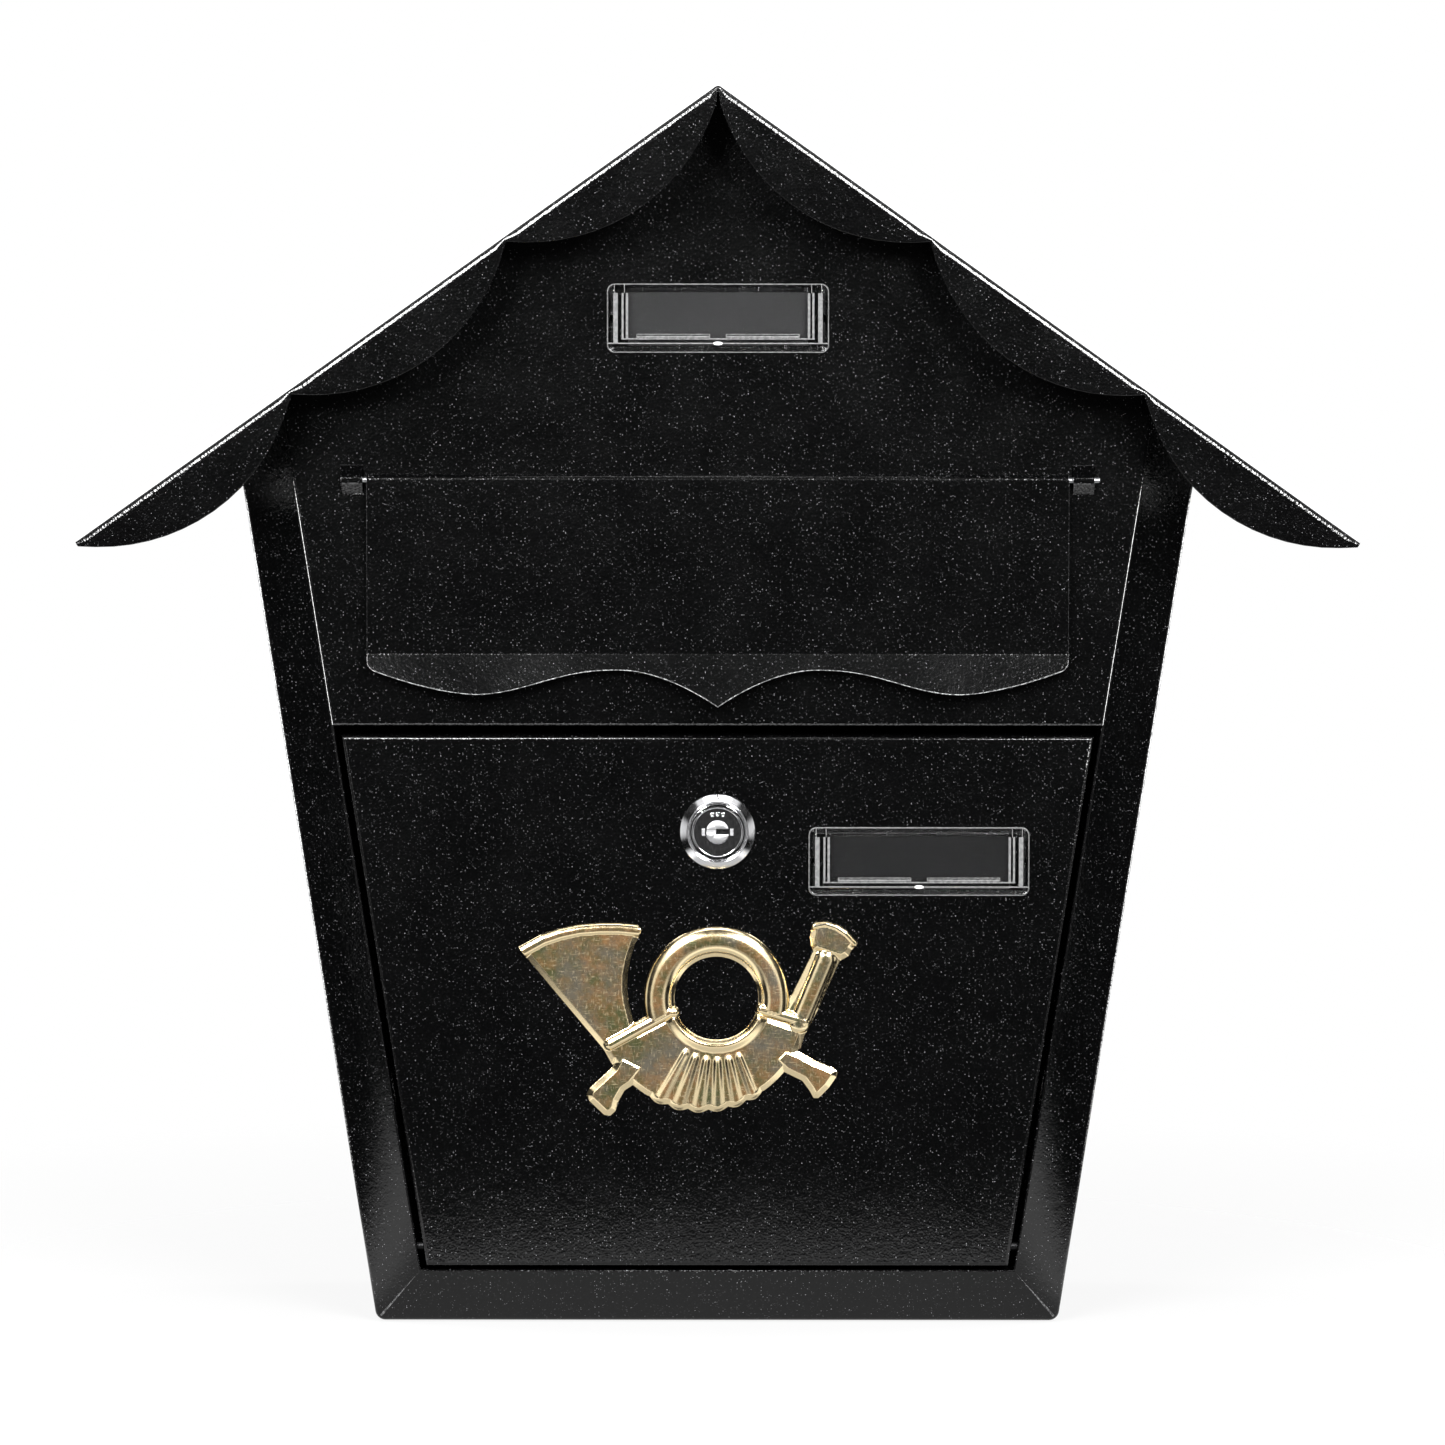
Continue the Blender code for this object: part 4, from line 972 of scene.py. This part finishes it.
def make_lock_plug():
    """Plug face with a raised rim, a bright dish, the keyway and three small stamped marks."""
    face = PLUG_FACE_Y
    profile = behind(face, PLUG_FACE) + [(7.6 * MM, high("lock_tumbler_4").y + 2 * MM)]
    plug = turned("lock_plug_core", profile, 0.0, LOCK_Z)
    tail = rounded_rectangle(-3 * MM, 3 * MM, LOCK_Z - 3 * MM, LOCK_Z + 3 * MM, 0.4 * MM)
    add(plug, prism("tail", tail, -72 * MM, high("lock_plug").y))
    cut(plug, turned("bed", behind(face, PLUG_BED), 0.0, LOCK_Z))
    cut(plug, prism("keyway_arms", at_lock(*KEYWAY_ARMS), face - MM, face + MM))
    opening = at_lock(*KEYWAY_OPENING)
    cut(plug, prism("keyway", opening, face - MM, face + KEYWAY_DEPTH))
    screw = ((1.9 * MM, -71 * MM), (1.9 * MM, -64 * MM))
    cut(plug, turned("screw_hole", screw, 0.0, LOCK_Z, segments=24))
    soften(plug, width=0.05 * MM, angle=35)
    fit_out(plug, "lock_core", "chrome_plate", CHROME, "lock_plug")
    disc_front = face + GUARD_FACE
    disc = [(3.2 * MM, face + 0.45 * MM), (3.3 * MM, disc_front + 0.05 * MM)]
    disc += [(0.5 * MM, disc_front - 0.02 * MM)]
    guard = turned("lock_keyway_guard", disc, 0.0, LOCK_Z)
    cut(guard, prism("guard_slot", opening, face - MM, face + MM))
    groove = rectangle(-4 * MM, 4 * MM, LOCK_Z - 0.3 * MM, LOCK_Z + 0.75 * MM)
    cut(guard, prism("guard_groove", groove, face - MM, disc_front + 0.12 * MM))
    fit_out(soften(guard, width=0.04 * MM, angle=35), "lock_core", "zinc_plate", BRUSHED)
    for side in (-1, 1):
        lug_outline = at_lock(*sorted((side * 3.65, side * 4.6)), -1.0, 1.0, 0.12)
        lug = prism(f"lock_keyway_lug_{(side + 3) // 2}", lug_outline, face + 0.1 * MM, face + 0.9 * MM)
        fit_out(soften(lug, width=0.05 * MM), "lock_core", "zinc_plate", BRUSHED)
    for index in (-1, 0, 1):
        angle = math.radians(90 - MARKS_APART * index)
        x = MARKS_RADIUS * math.cos(angle)
        z = LOCK_Z + MARKS_RADIUS * math.sin(angle)
        ring = behind(face, MARK_RING)
        mark = turned(f"lock_mark_{index + 2}", ring, x, z, bored=True, segments=24)
        fit_out(soften(mark, bevel=False, angle=60), "lock_core", "chrome_plate", CHROME)


# ---------------- emblem

# Outlines in millimetres from the middle of the emblem, X to the right and Z up.
BELL_MOUTH = [(-50.0, 20.9), (-43.2, 24.7), (-37.9, 26.5), (-32.3, 27.7), (-26.0, 28.2)]
BELL_MOUTH += [(-20.4, 28.2), (-15.0, 27.7)]
BELL_THROAT = [(-13.7, 26.0), (-15.5, 22.2), (-17.0, 17.6), (-17.9, 13.0), (-18.0, 8.8)]
BELL_THROAT += [(-17.6, 5.0), (-16.0, -1.3)]
BELL = BELL_MOUTH + BELL_THROAT + [(-13.0, 0.5), (-14.0, -8.0), (-22.3, -13.8), (-25.0, -9.0)]
FAN_SIDES = [(-25.0, -9.0), (-22.3, -13.8), (-16.6, -19.8), (-12.0, -30.0), (20.0, -30.0)]
FAN_SIDES += [(28.0, -15.9), (32.4, -9.7), (34.6, -3.4), (20.0, 1.8), (8.0, 6.0), (-5.0, 1.5)]
MOUTH_TUBE = [(32.4, -9.6), (34.4, -3.7), (37.9, 2.9), (42.8, 14.0), (45.5, 19.5)]
MOUTH_TUBE += [(36.6, 21.0), (30.0, 7.3), (27.5, 3.0)]
CUP = [(36.1, 20.0), (44.3, 17.2), (46.5, 18.4), (47.6, 20.4), (48.8, 21.3), (49.3, 22.4)]
CUP += [(46.3, 25.7), (43.2, 27.7), (39.7, 28.8), (37.0, 28.5), (35.8, 27.4), (35.3, 24.0)]
CUP += [(35.5, 21.7)]
CUP_MOUTH = [(36.3, 27.4), (39.7, 28.0), (42.9, 27.0), (45.8, 25.1), (48.5, 22.3)]
LEFT_END = [(-20.0, -10.0), (-22.3, -14.2), (-29.2, -20.6), (-30.0, -22.4), (-29.2, -24.2)]
LEFT_END += [(-24.8, -28.4), (-23.0, -28.7), (-21.4, -27.2), (-20.6, -24.4), (-18.8, -21.2)]
LEFT_END += [(-16.4, -19.6), (-12.0, -14.0)]
RIGHT_END = [(28.0, -8.0), (32.4, -9.8), (36.4, -12.0), (41.6, -14.1), (43.4, -15.4), (43.2, -17.0)]
RIGHT_END += [(41.0, -20.2), (37.9, -23.4), (36.4, -23.4), (35.2, -21.2), (33.1, -18.3)]
RIGHT_END += [(28.0, -15.8), (24.0, -12.0)]
HORN = (8.0, 6.0)
HORN_OUTER = 21.15
HORN_TUBE_INNER = 13.2
HORN_INNER = 12.2
HUB_OUTER = 16.8
FAN = (3.8, 3.9)
FAN_RADIUS = 31.0
PLEATS = (8.0, 6.5)
PLEAT_STEP = math.radians(10)
PLEATS_FROM = math.radians(-124)
PLEATS_TO = math.radians(-64)
LEFT_BAND = [(-23.0, -7.5), (-5.9, 1.9)]
RIGHT_BAND = [(21.4, 2.9), (33.6, -0.7)]
BAND_RADIUS = 1.75
KNOB = (-4.3, 1.9)
KNOB_RADIUS = 1.7
TUBE_LINE = [(39.9, 17.5), (32.2, -1.2)]
EDGE_HEIGHT = 0.45
FIELD_HEIGHT = 1.25
SLOPE_WIDTH = 1.75
SOFTENED_OVER = 0.16
CELL = 0.36
EMBLEM_GRID_X = (-51.5, 51.0)
EMBLEM_GRID_Z = (-30.5, 30.5)
STUD_RADIUS = 1.3 * MM
STUD_REAR_Y = -81.3 * MM


def distance_to_line(points, x, z):
    """Distance to an open line of points."""
    distance = np.full(x.shape, 1e9)
    for (ax, az), (bx, bz) in zip(points, points[1:]):
        ex, ez = bx - ax, bz - az
        share = np.clip(((x - ax) * ex + (z - az) * ez) / (ex * ex + ez * ez), 0, 1)
        distance = np.minimum(distance, np.hypot(x - ax - share * ex, z - az - share * ez))
    return distance


def inside_polygon(outline, x, z):
    """Distance inside a polygon's edge, negative outside."""
    closed = outline + outline[:1]
    inside = np.zeros(x.shape, bool)
    for (ax, az), (bx, bz) in zip(closed, closed[1:]):
        if az != bz:
            crosses = (az > z) != (bz > z)
            inside ^= crosses & (x < ax + (z - az) * (bx - ax) / (bz - az))
    distance = distance_to_line(closed, x, z)
    return np.where(inside, distance, -distance)


def above_bands(x, z):
    """Distance above the lines of the two bands, where the horn's ring is a full tube."""
    (ax, az), (bx, bz) = LEFT_BAND
    left = z - az - (x - ax) * (bz - az) / (bx - ax)
    (ax, az), (bx, bz) = RIGHT_BAND
    right = z - az - (x - ax) * (bz - az) / (bx - ax)
    return np.where(x < HORN[0], left, right)


def fan_inside(x, z):
    """Distance inside the ribbon's fan, whose lower edge has a scallop at the end of each pleat."""
    pleat = np.arctan2(z - PLEATS[1], x - PLEATS[0])
    scallop = np.abs(np.sin((pleat - PLEATS_FROM) * math.pi / PLEAT_STEP))
    pleated = (pleat > PLEATS_FROM) & (pleat < PLEATS_TO)
    radius = FAN_RADIUS + np.where(pleated, 0.9 * scallop - 0.25, 0.0)
    arc = radius - np.hypot(x - FAN[0], z - FAN[1])
    hole = np.hypot(x - HORN[0], z - HORN[1]) - HORN_INNER
    return np.minimum(np.minimum(arc, inside_polygon(FAN_SIDES, x, z)), hole)


def emblem_shapes(x, z):
    """Distances inside each shape of the emblem."""
    from_horn = np.hypot(x - HORN[0], z - HORN[1])
    return {
        "bell": inside_polygon(BELL, x, z),
        "fan": fan_inside(x, z),
        "tube": np.minimum(inside_polygon(MOUTH_TUBE, x, z), from_horn - HORN_INNER),
        "cup": inside_polygon(CUP, x, z),
        "left_end": inside_polygon(LEFT_END, x, z),
        "right_end": inside_polygon(RIGHT_END, x, z),
        "ring": np.minimum(HORN_OUTER - from_horn, from_horn - HORN_INNER),
        "left_band": BAND_RADIUS - distance_to_line(LEFT_BAND, x, z),
        "right_band": BAND_RADIUS - distance_to_line(RIGHT_BAND, x, z),
        "knob": KNOB_RADIUS - np.hypot(x - KNOB[0], z - KNOB[1]),
    }


def emblem_inside(x, z):
    return np.max(np.stack(list(emblem_shapes(x, z).values())), axis=0)


def raised_field(inside, top=FIELD_HEIGHT):
    """Height of a flat field with a sloping edge all round."""
    climb = (top - EDGE_HEIGHT) * np.clip(inside / SLOPE_WIDTH, 0, 1)
    return np.where(inside > -0.2, EDGE_HEIGHT + climb, 0.0)


def half_round(distance, radius, base, rise):
    """Height of a half-round bar at a distance from its middle line."""
    across = np.clip(distance / radius, 0, 1)
    return np.where(distance < radius + 0.2, base + rise * np.sqrt(np.clip(1 - across**2, 0, 1)), 0.0)


def smooth_step(value):
    share = np.clip(value, 0, 1)
    return share * share * (3 - 2 * share)


def emblem_height(x, z):
    """Height of the pressed relief above the emblem's back, in millimetres."""
    s = emblem_shapes(x, z)
    from_horn = np.hypot(x - HORN[0], z - HORN[1])
    pleat = np.arctan2(z - PLEATS[1], x - PLEATS[0])
    middle = smooth_step((pleat - PLEATS_FROM) / 0.1) * smooth_step((PLEATS_TO - pleat) / 0.1)
    wave = 0.5 - 0.5 * np.cos(2 * (pleat - PLEATS_FROM) * math.pi / PLEAT_STEP)
    pleats = 0.55 * wave * middle * smooth_step((from_horn - 16.0) / 3)
    hub = 1.0 * smooth_step((HUB_OUTER - from_horn) / (HUB_OUTER - 13.4))
    hub *= smooth_step((from_horn - HORN_INNER + 0.5) / 1.4)
    folds = (pleats + hub) * smooth_step(s["fan"] / 1.2)
    fan = raised_field(s["fan"]) + np.where(s["fan"] > 0, folds, 0.0)

    bell = raised_field(s["bell"])
    mouth = half_round(np.abs(distance_to_line(BELL_MOUTH, x, z) - 1.75), 1.75, 0.75, 1.25)
    bell = np.maximum(bell, np.where(s["bell"] > 0, mouth, 0.0))

    above = above_bands(x, z)
    tube_middle = (HORN_OUTER + HORN_TUBE_INNER) / 2
    tube_radius = (HORN_OUTER - HORN_TUBE_INNER) / 2
    ring = half_round(np.abs(from_horn - tube_middle), tube_radius, EDGE_HEIGHT, 2.35)
    lip = EDGE_HEIGHT + 0.7 * np.clip((from_horn - HORN_INNER) / 1.2, 0, 1)
    lip = np.where((s["ring"] > -0.2) & (from_horn < HORN_TUBE_INNER + 0.9), lip, 0.0)
    ring = np.where(above > 0, np.maximum(ring, lip), 0.0)

    horn_tube = raised_field(s["tube"], 1.1)
    bore = half_round(distance_to_line(TUBE_LINE, x, z), 3.0, 0.8, 1.5)
    horn_tube = np.maximum(horn_tube, np.where(s["tube"] > 0, bore, 0.0))
    cup = raised_field(s["cup"], 2.0)
    cup_lip = half_round(distance_to_line(CUP_MOUTH, x, z), 1.0, 1.5, 0.9)
    cup = np.maximum(cup, np.where(s["cup"] > 0, cup_lip, 0.0))
    heights = [fan, bell, ring, horn_tube, cup]
    heights += [raised_field(s[end], 1.5) for end in ("left_end", "right_end")]
    for band in (LEFT_BAND, RIGHT_BAND):
        heights.append(half_round(distance_to_line(band, x, z), BAND_RADIUS, 0.9, 1.5))
    from_knob = np.hypot(x - KNOB[0], z - KNOB[1])
    heights.append(half_round(from_knob, KNOB_RADIUS, EDGE_HEIGHT, 1.9))
    return np.max(np.stack(heights), axis=0)


def softened_height(x, z):
    """The relief's height averaged over a small neighbourhood, as in pressed sheet."""
    total = 2 * emblem_height(x, z)
    for px, pz in circle(SOFTENED_OVER, 8):
        total = total + emblem_height(x + px, z + pz)
    return total / 10


def slope(function, x, z, step):
    """Rises of a function of X and Z along both."""
    along_x = (function(x + step, z) - function(x - step, z)) / (2 * step)
    along_z = (function(x, z + step) - function(x, z - step)) / (2 * step)
    return along_x, along_z


def make_emblem():
    """The post horn as a pressed relief: a fine grid whose border is drawn onto the outline."""
    across = np.arange(*EMBLEM_GRID_X, CELL)
    along = np.arange(*EMBLEM_GRID_Z, CELL)
    x, z = np.meshgrid(across, along, indexing="ij")
    for _ in range(4):
        inside = emblem_inside(x, z)
        gx, gz = slope(emblem_inside, x, z, 0.02)
        steepness = np.maximum(np.hypot(gx, gz), 0.3) ** 2
        near = np.abs(inside) < CELL * 0.6
        x = x - np.where(near, inside * gx / steepness, 0.0)
        z = z - np.where(near, inside * gz / steepness, 0.0)
    kept = emblem_inside(x, z) > -0.04
    relief = np.maximum(softened_height(x, z), EDGE_HEIGHT)
    gx, gz = slope(softened_height, x, z, 0.12)
    bm = bmesh.new()
    places = {}
    normals = []

    def vert(i, j):
        if (i, j) not in places:
            at = (EMBLEM_X + x[i, j] * MM, EMBLEM_BACK_Y - relief[i, j] * MM, EMBLEM_Z + z[i, j] * MM)
            places[i, j] = bm.verts.new(at)
            normals.append(Vector((-gx[i, j], -1.0, -gz[i, j])).normalized())
        return places[i, j]

    for i in range(x.shape[0] - 1):
        for j in range(x.shape[1] - 1):
            corners = [c for c in ((i, j), (i + 1, j), (i + 1, j + 1), (i, j + 1)) if kept[c]]
            if len(corners) > 2:
                bm.faces.new([vert(*c) for c in corners])
    front_count = len(bm.verts)
    front_faces = len(bm.faces)
    edge = [e for e in bm.edges if len(e.link_faces) == 1]
    wall = bmesh.ops.extrude_edge_only(bm, edges=edge)["geom"]
    for v in wall:
        if isinstance(v, bmesh.types.BMVert):
            v.co.y = EMBLEM_BACK_Y
    loop = [e for e in wall if isinstance(e, bmesh.types.BMEdge) and len(e.link_faces) == 1]
    bmesh.ops.triangle_fill(bm, edges=loop, use_beauty=True)
    mesh = bpy.data.meshes.new("emblem_relief")
    bmesh.ops.recalc_face_normals(bm, faces=bm.faces)
    bm.to_mesh(mesh)
    bm.free()
    mesh.shade_smooth()
    split = []
    for polygon in mesh.polygons:
        for index in polygon.vertices:
            front = polygon.index < front_faces and index < front_count
            split.append(normals[index] if front else polygon.normal)
    mesh.normals_split_custom_set(split)
    fit_out(placed("emblem_relief", mesh), "door", "gold_plate", GOLD, "emblem")
    for index, (px, pz) in enumerate(stud_places()):
        ends = [(STUD_RADIUS, EMBLEM_BACK_Y - 0.2 * MM), (STUD_RADIUS, STUD_REAR_Y - 0.3 * MM)]
        ends.append((STUD_RADIUS - 0.3 * MM, STUD_REAR_Y))
        stud = soften(turned(f"emblem_stud_{index + 1}", ends, px, pz, segments=24), bevel=False)
        fit_out(stud, "door", "gold_plate", GOLD)


# ---------------- name plates

RIM = 0.3 * MM
COVER_CORNER = 2.3 * MM
FACE_SUNK = 0.45 * MM
FLANK_DEPTH = 0.9 * MM
POCKET_X = 26.4 * MM
POCKET_Z = 7.8 * MM
POCKET_DEPTH = 1.5 * MM
PEG_RADIUS = 1.2 * MM
NIB_DROP = 7.2 * MM
# Bars from the middle of a name plate, in millimetres: left, right, bottom, top, depth below the front.
BARS_ACROSS = [(-32.0, 32.0, -7.35, -7.0, 0.2), (-28.0, 28.0, -6.05, -5.7, 0.1)]
FROSTED_RIBS = [
    (29.0, 30.3, -7.2, 7.4, 0.0),
    (27.3, 27.9, -5.8, 7.4, 0.1),
    (26.0, 26.7, -5.8, 7.4, 0.1),
    (27.0, 27.2, 7.4, 9.9, 0.2),
    (29.9, 30.1, 7.4, 9.9, 0.2),
]
NIB_RINGS = [(1.0, 0.44), (0.9, 0.15), (0.5, 0.03)]


def make_name_plate(label, body):
    """Clear cover over its card, with a frosted rim, ribs, a ledge, two tabs and a nib."""
    cover_node = f"{label}_nameplate_cover"
    corner_low, corner_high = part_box(cover_node)
    x, _, z = middle(cover_node)
    half_width = (corner_high.x - corner_low.x) / 2
    half_height = (corner_high.z - corner_low.z) / 2
    front = corner_low.y
    seat = FRONT_Y - GAP
    face = front + FACE_SUNK

    def border(inset):
        """The cover's outline at an inset."""
        across = half_width - inset
        along = half_height - inset
        corner = max(COVER_CORNER - inset, 0.3 * MM)
        return rounded_rectangle(x - across, x + across, z - along, z + along, corner)

    crest = seat - FLANK_DEPTH
    steps = [(RIM, seat), (RIM, crest), (1.6 * MM, face + 0.15 * MM), (1.9 * MM, face)]
    cover = skin(f"{label}_nameplate_clear", [[(px, y, pz) for px, pz in border(d)] for d, y in steps])
    pocket = rectangle(x - POCKET_X, x + POCKET_X, z - POCKET_Z, z + POCKET_Z)
    cut(cover, prism("pocket", pocket, seat - POCKET_DEPTH, seat + MM))
    for px, pz in peg_places(cover_node):
        peg = [(PEG_RADIUS, seat - MM), (PEG_RADIUS, corner_high.y - 0.3 * MM)]
        peg.append((PEG_RADIUS - 0.3 * MM, corner_high.y))
        add(cover, turned("peg", peg, px, pz, segments=24))
    soften(cover, width=0.08 * MM, segments=1)
    fit_out(cover, body, "clear_plastic", CLEAR, cover_node)

    loops = [(0.0, seat), (0.0, crest + 0.15 * MM), (0.12 * MM, crest), (RIM, crest), (RIM, seat)]
    rim_rings = [[(px, y, pz) for px, pz in border(d)] for d, y in loops]
    rim = skin(f"{label}_nameplate_rim", rim_rings, closed=True)
    fit_out(soften(rim, bevel=False), body, "clear_plastic", FROSTED, cover_node)
    bars = list(BARS_ACROSS)
    for side in (-1, 1):
        for inner, outer, bottom, top, sunk in FROSTED_RIBS:
            left, right = sorted((side * inner, side * outer))
            bars.append((left, right, bottom, top, sunk))
        left, right = sorted((side * 2.3, side * 23.6))
        bars.append((left, right, -4.65, -4.45, 0.2))
        bars.append((left, right, -5.55, -5.0, 0.1))
        for end in (left, right - 0.2):
            bars.append((end, end + 0.2, -5.6, -4.45, 0.2))
    for index, (left, right, bottom, top, sunk) in enumerate(bars):
        outline = rectangle(x + left * MM, x + right * MM, z + bottom * MM, z + top * MM)
        bar = prism(f"{label}_nameplate_bar_{index + 1}", outline, front + sunk * MM, face - 0.01 * MM)
        fit_out(soften(bar, width=0.05 * MM), body, "clear_plastic", FROSTED, cover_node)
    nib_rings = []
    for share, sunk in NIB_RINGS:
        ring = [(1.4 * px, 0.5 * pz) for px, pz in circle(share * MM, 32)]
        nib_rings.append([(x + px, front + sunk * MM, z - NIB_DROP + pz) for px, pz in ring])
    nib = soften(skin(f"{label}_nameplate_nib", nib_rings), bevel=False)
    fit_out(nib, body, "clear_plastic", NIB, cover_node)
    keep_node(f"{label}_nameplate_insert", CARDS[label], 0.08 * MM)


# ---------------- stage


def area_light(name, place, target, size, radiance, across=(1.0, 0.0, 0.0)):
    """A softbox of a given brightness, its first side along "across", not seen by the camera."""
    light = bpy.data.lights.new(name, "AREA")
    light.shape = "RECTANGLE"
    light.size, light.size_y = size
    light.energy = radiance * math.pi * size[0] * size[1]
    obj = placed(name, light)
    obj.location = place
    outwards = (Vector(place) - Vector(target)).normalized()
    up = outwards.cross(Vector(across)).normalized()
    obj.rotation_euler = Matrix((up.cross(outwards), up, outwards)).transposed().to_euler()
    obj.visible_camera = False


def make_world():
    """White behind everything; what lights and mirrors is a dim room with a bright backdrop."""
    nodes = Nodes(bpy.data.worlds.new("studio"))
    bpy.context.scene.world = nodes.owner
    way = nodes.make("SeparateXYZ", {0: nodes.coordinates["Generated"]}).outputs
    walls = nodes.make("ValToRGB", {0: nodes.math("ABSOLUTE", way["X"])})
    ramp = walls.color_ramp.elements
    while len(ramp) < len(WALLS):
        ramp.new(1.0)
    for element, (reach, glow) in zip(ramp, WALLS):
        element.position = reach
        element.color = grey(glow)
    rear = nodes.soft_step(way["Y"], BACKDROP_FROM)
    backdrop = nodes.math("MULTIPLY", rear, nodes.soft_step(way["Z"], BACKDROP_TOP))
    glow = nodes.math("MULTIPLY_ADD", backdrop, BACKDROP, walls.outputs["Color"])
    room = nodes.make("Background", {"Color": WHITE, "Strength": glow})
    seen = nodes.make("Background", {"Color": WHITE})
    by_camera = nodes.make("LightPath").outputs["Is Camera Ray"]
    nodes.finish(nodes.shader_mix(by_camera, room, seen))


def make_floor():
    """Pale floor under the object: white with a soft shadow, fading out into the white behind it."""
    bm = bmesh.new()
    bmesh.ops.create_grid(bm, x_segments=2, y_segments=2, size=0.5)
    floor = new_object("floor", bm)
    floor.location = (0.0, -0.05, BODY_BOTTOM_Z - 0.2 * MM)
    nodes = material("floor_white")
    links = {0: nodes.place, 1: GLOW_NARROWED}
    narrowed = nodes.make("VectorMath", links, operation="MULTIPLY").outputs[0]
    distance, reach = [
        nodes.make("VectorMath", {0: place}, operation="LENGTH").outputs["Value"]
        for place in (nodes.place, narrowed)
    ]
    brighter = nodes.remap(reach, *GLOW_STEP, 1.0, 2.0)
    glow = nodes.math("MULTIPLY", nodes.remap(reach, *GLOW_EDGE, FLOOR_GLOW, 0.0), brighter)
    bounced = nodes.make("Emission", {"Color": WHITE, "Strength": glow})
    white = nodes.make("Emission", {"Color": WHITE, "Strength": FLOOR_WHITE})
    shaded = nodes.make("BsdfDiffuse", {"Color": grey(FLOOR_SHADE)})
    seen = nodes.make("AddShader", {0: white.outputs[0], 1: shaded.outputs[0]})
    by_camera = nodes.make("LightPath").outputs["Is Camera Ray"]
    look = nodes.shader_mix(by_camera, bounced, seen)
    clear = nodes.make("BsdfTransparent")
    nodes.finish(nodes.shader_mix(nodes.remap(distance, *FLOOR_FADE, 0.0, 1.0), look, clear))
    floor.data.materials.append(nodes.owner)


def make_camera():
    """Long lens, a little above the roof and looking slightly down."""
    data = bpy.data.cameras.new("camera")
    data.sensor_width = 36.0
    data.lens = FOCAL_LENGTH
    data.clip_start = 0.1
    camera = placed("camera", data)
    camera.location = (CAMERA_X, -ROOF_DEPTH - CAMERA_AHEAD, APEX_Z + CAMERA_ABOVE)
    camera.rotation_euler = (math.radians(90 - CAMERA_DIP), math.radians(CAMERA_ROLL), 0.0)
    bpy.context.scene.camera = camera


def make_stage():
    bpy.context.scene.view_settings.view_transform = "Standard"
    make_world()
    make_floor()
    make_camera()
    area_light("top", (0.0, -0.20, 1.25), (0.0, -0.05, 0.0), (1.15, 0.7), TOP_LIGHT)
    for side in (-1, 1):
        down_slope = (side * math.cos(ROOF_ANGLE), 0.0, -math.sin(ROOF_ANGLE))
        place = (side * 0.60, -1.22, 0.78)
        area_light("front_side", place, (0.0, -0.06, 0.06), (0.26, 1.0), FRONT_LIGHT, down_slope)
        place = (side * 1.3, 0.30, 0.15)
        area_light("rear_side", place, (0.0, -0.06, 0.03), (0.35, 1.2), REAR_LIGHT)


# ---------------- everything


def main():
    make_stage()
    make_roof()
    make_body_shell()
    make_front_panel()
    make_flap()
    make_door()
    make_lock_housing()
    make_lock_plug()
    make_emblem()
    make_name_plate("upper", "housing")
    make_name_plate("lower", "door")
    keep_node("back_panel", COAT)
    for side in ("left", "right"):
        keep_node("door_hinge_pin_" + side, BLACK_ZINC)
        keep_node("emblem_clip_" + side, ZINC)
    for node in ("lock_nut", "lock_cam", "lock_cam_washer", "lock_cam_screw"):
        keep_node(node, ZINC)
    for index in range(1, 5):
        keep_node(f"lock_tumbler_{index}", ZINC, 0.05 * MM)


main()
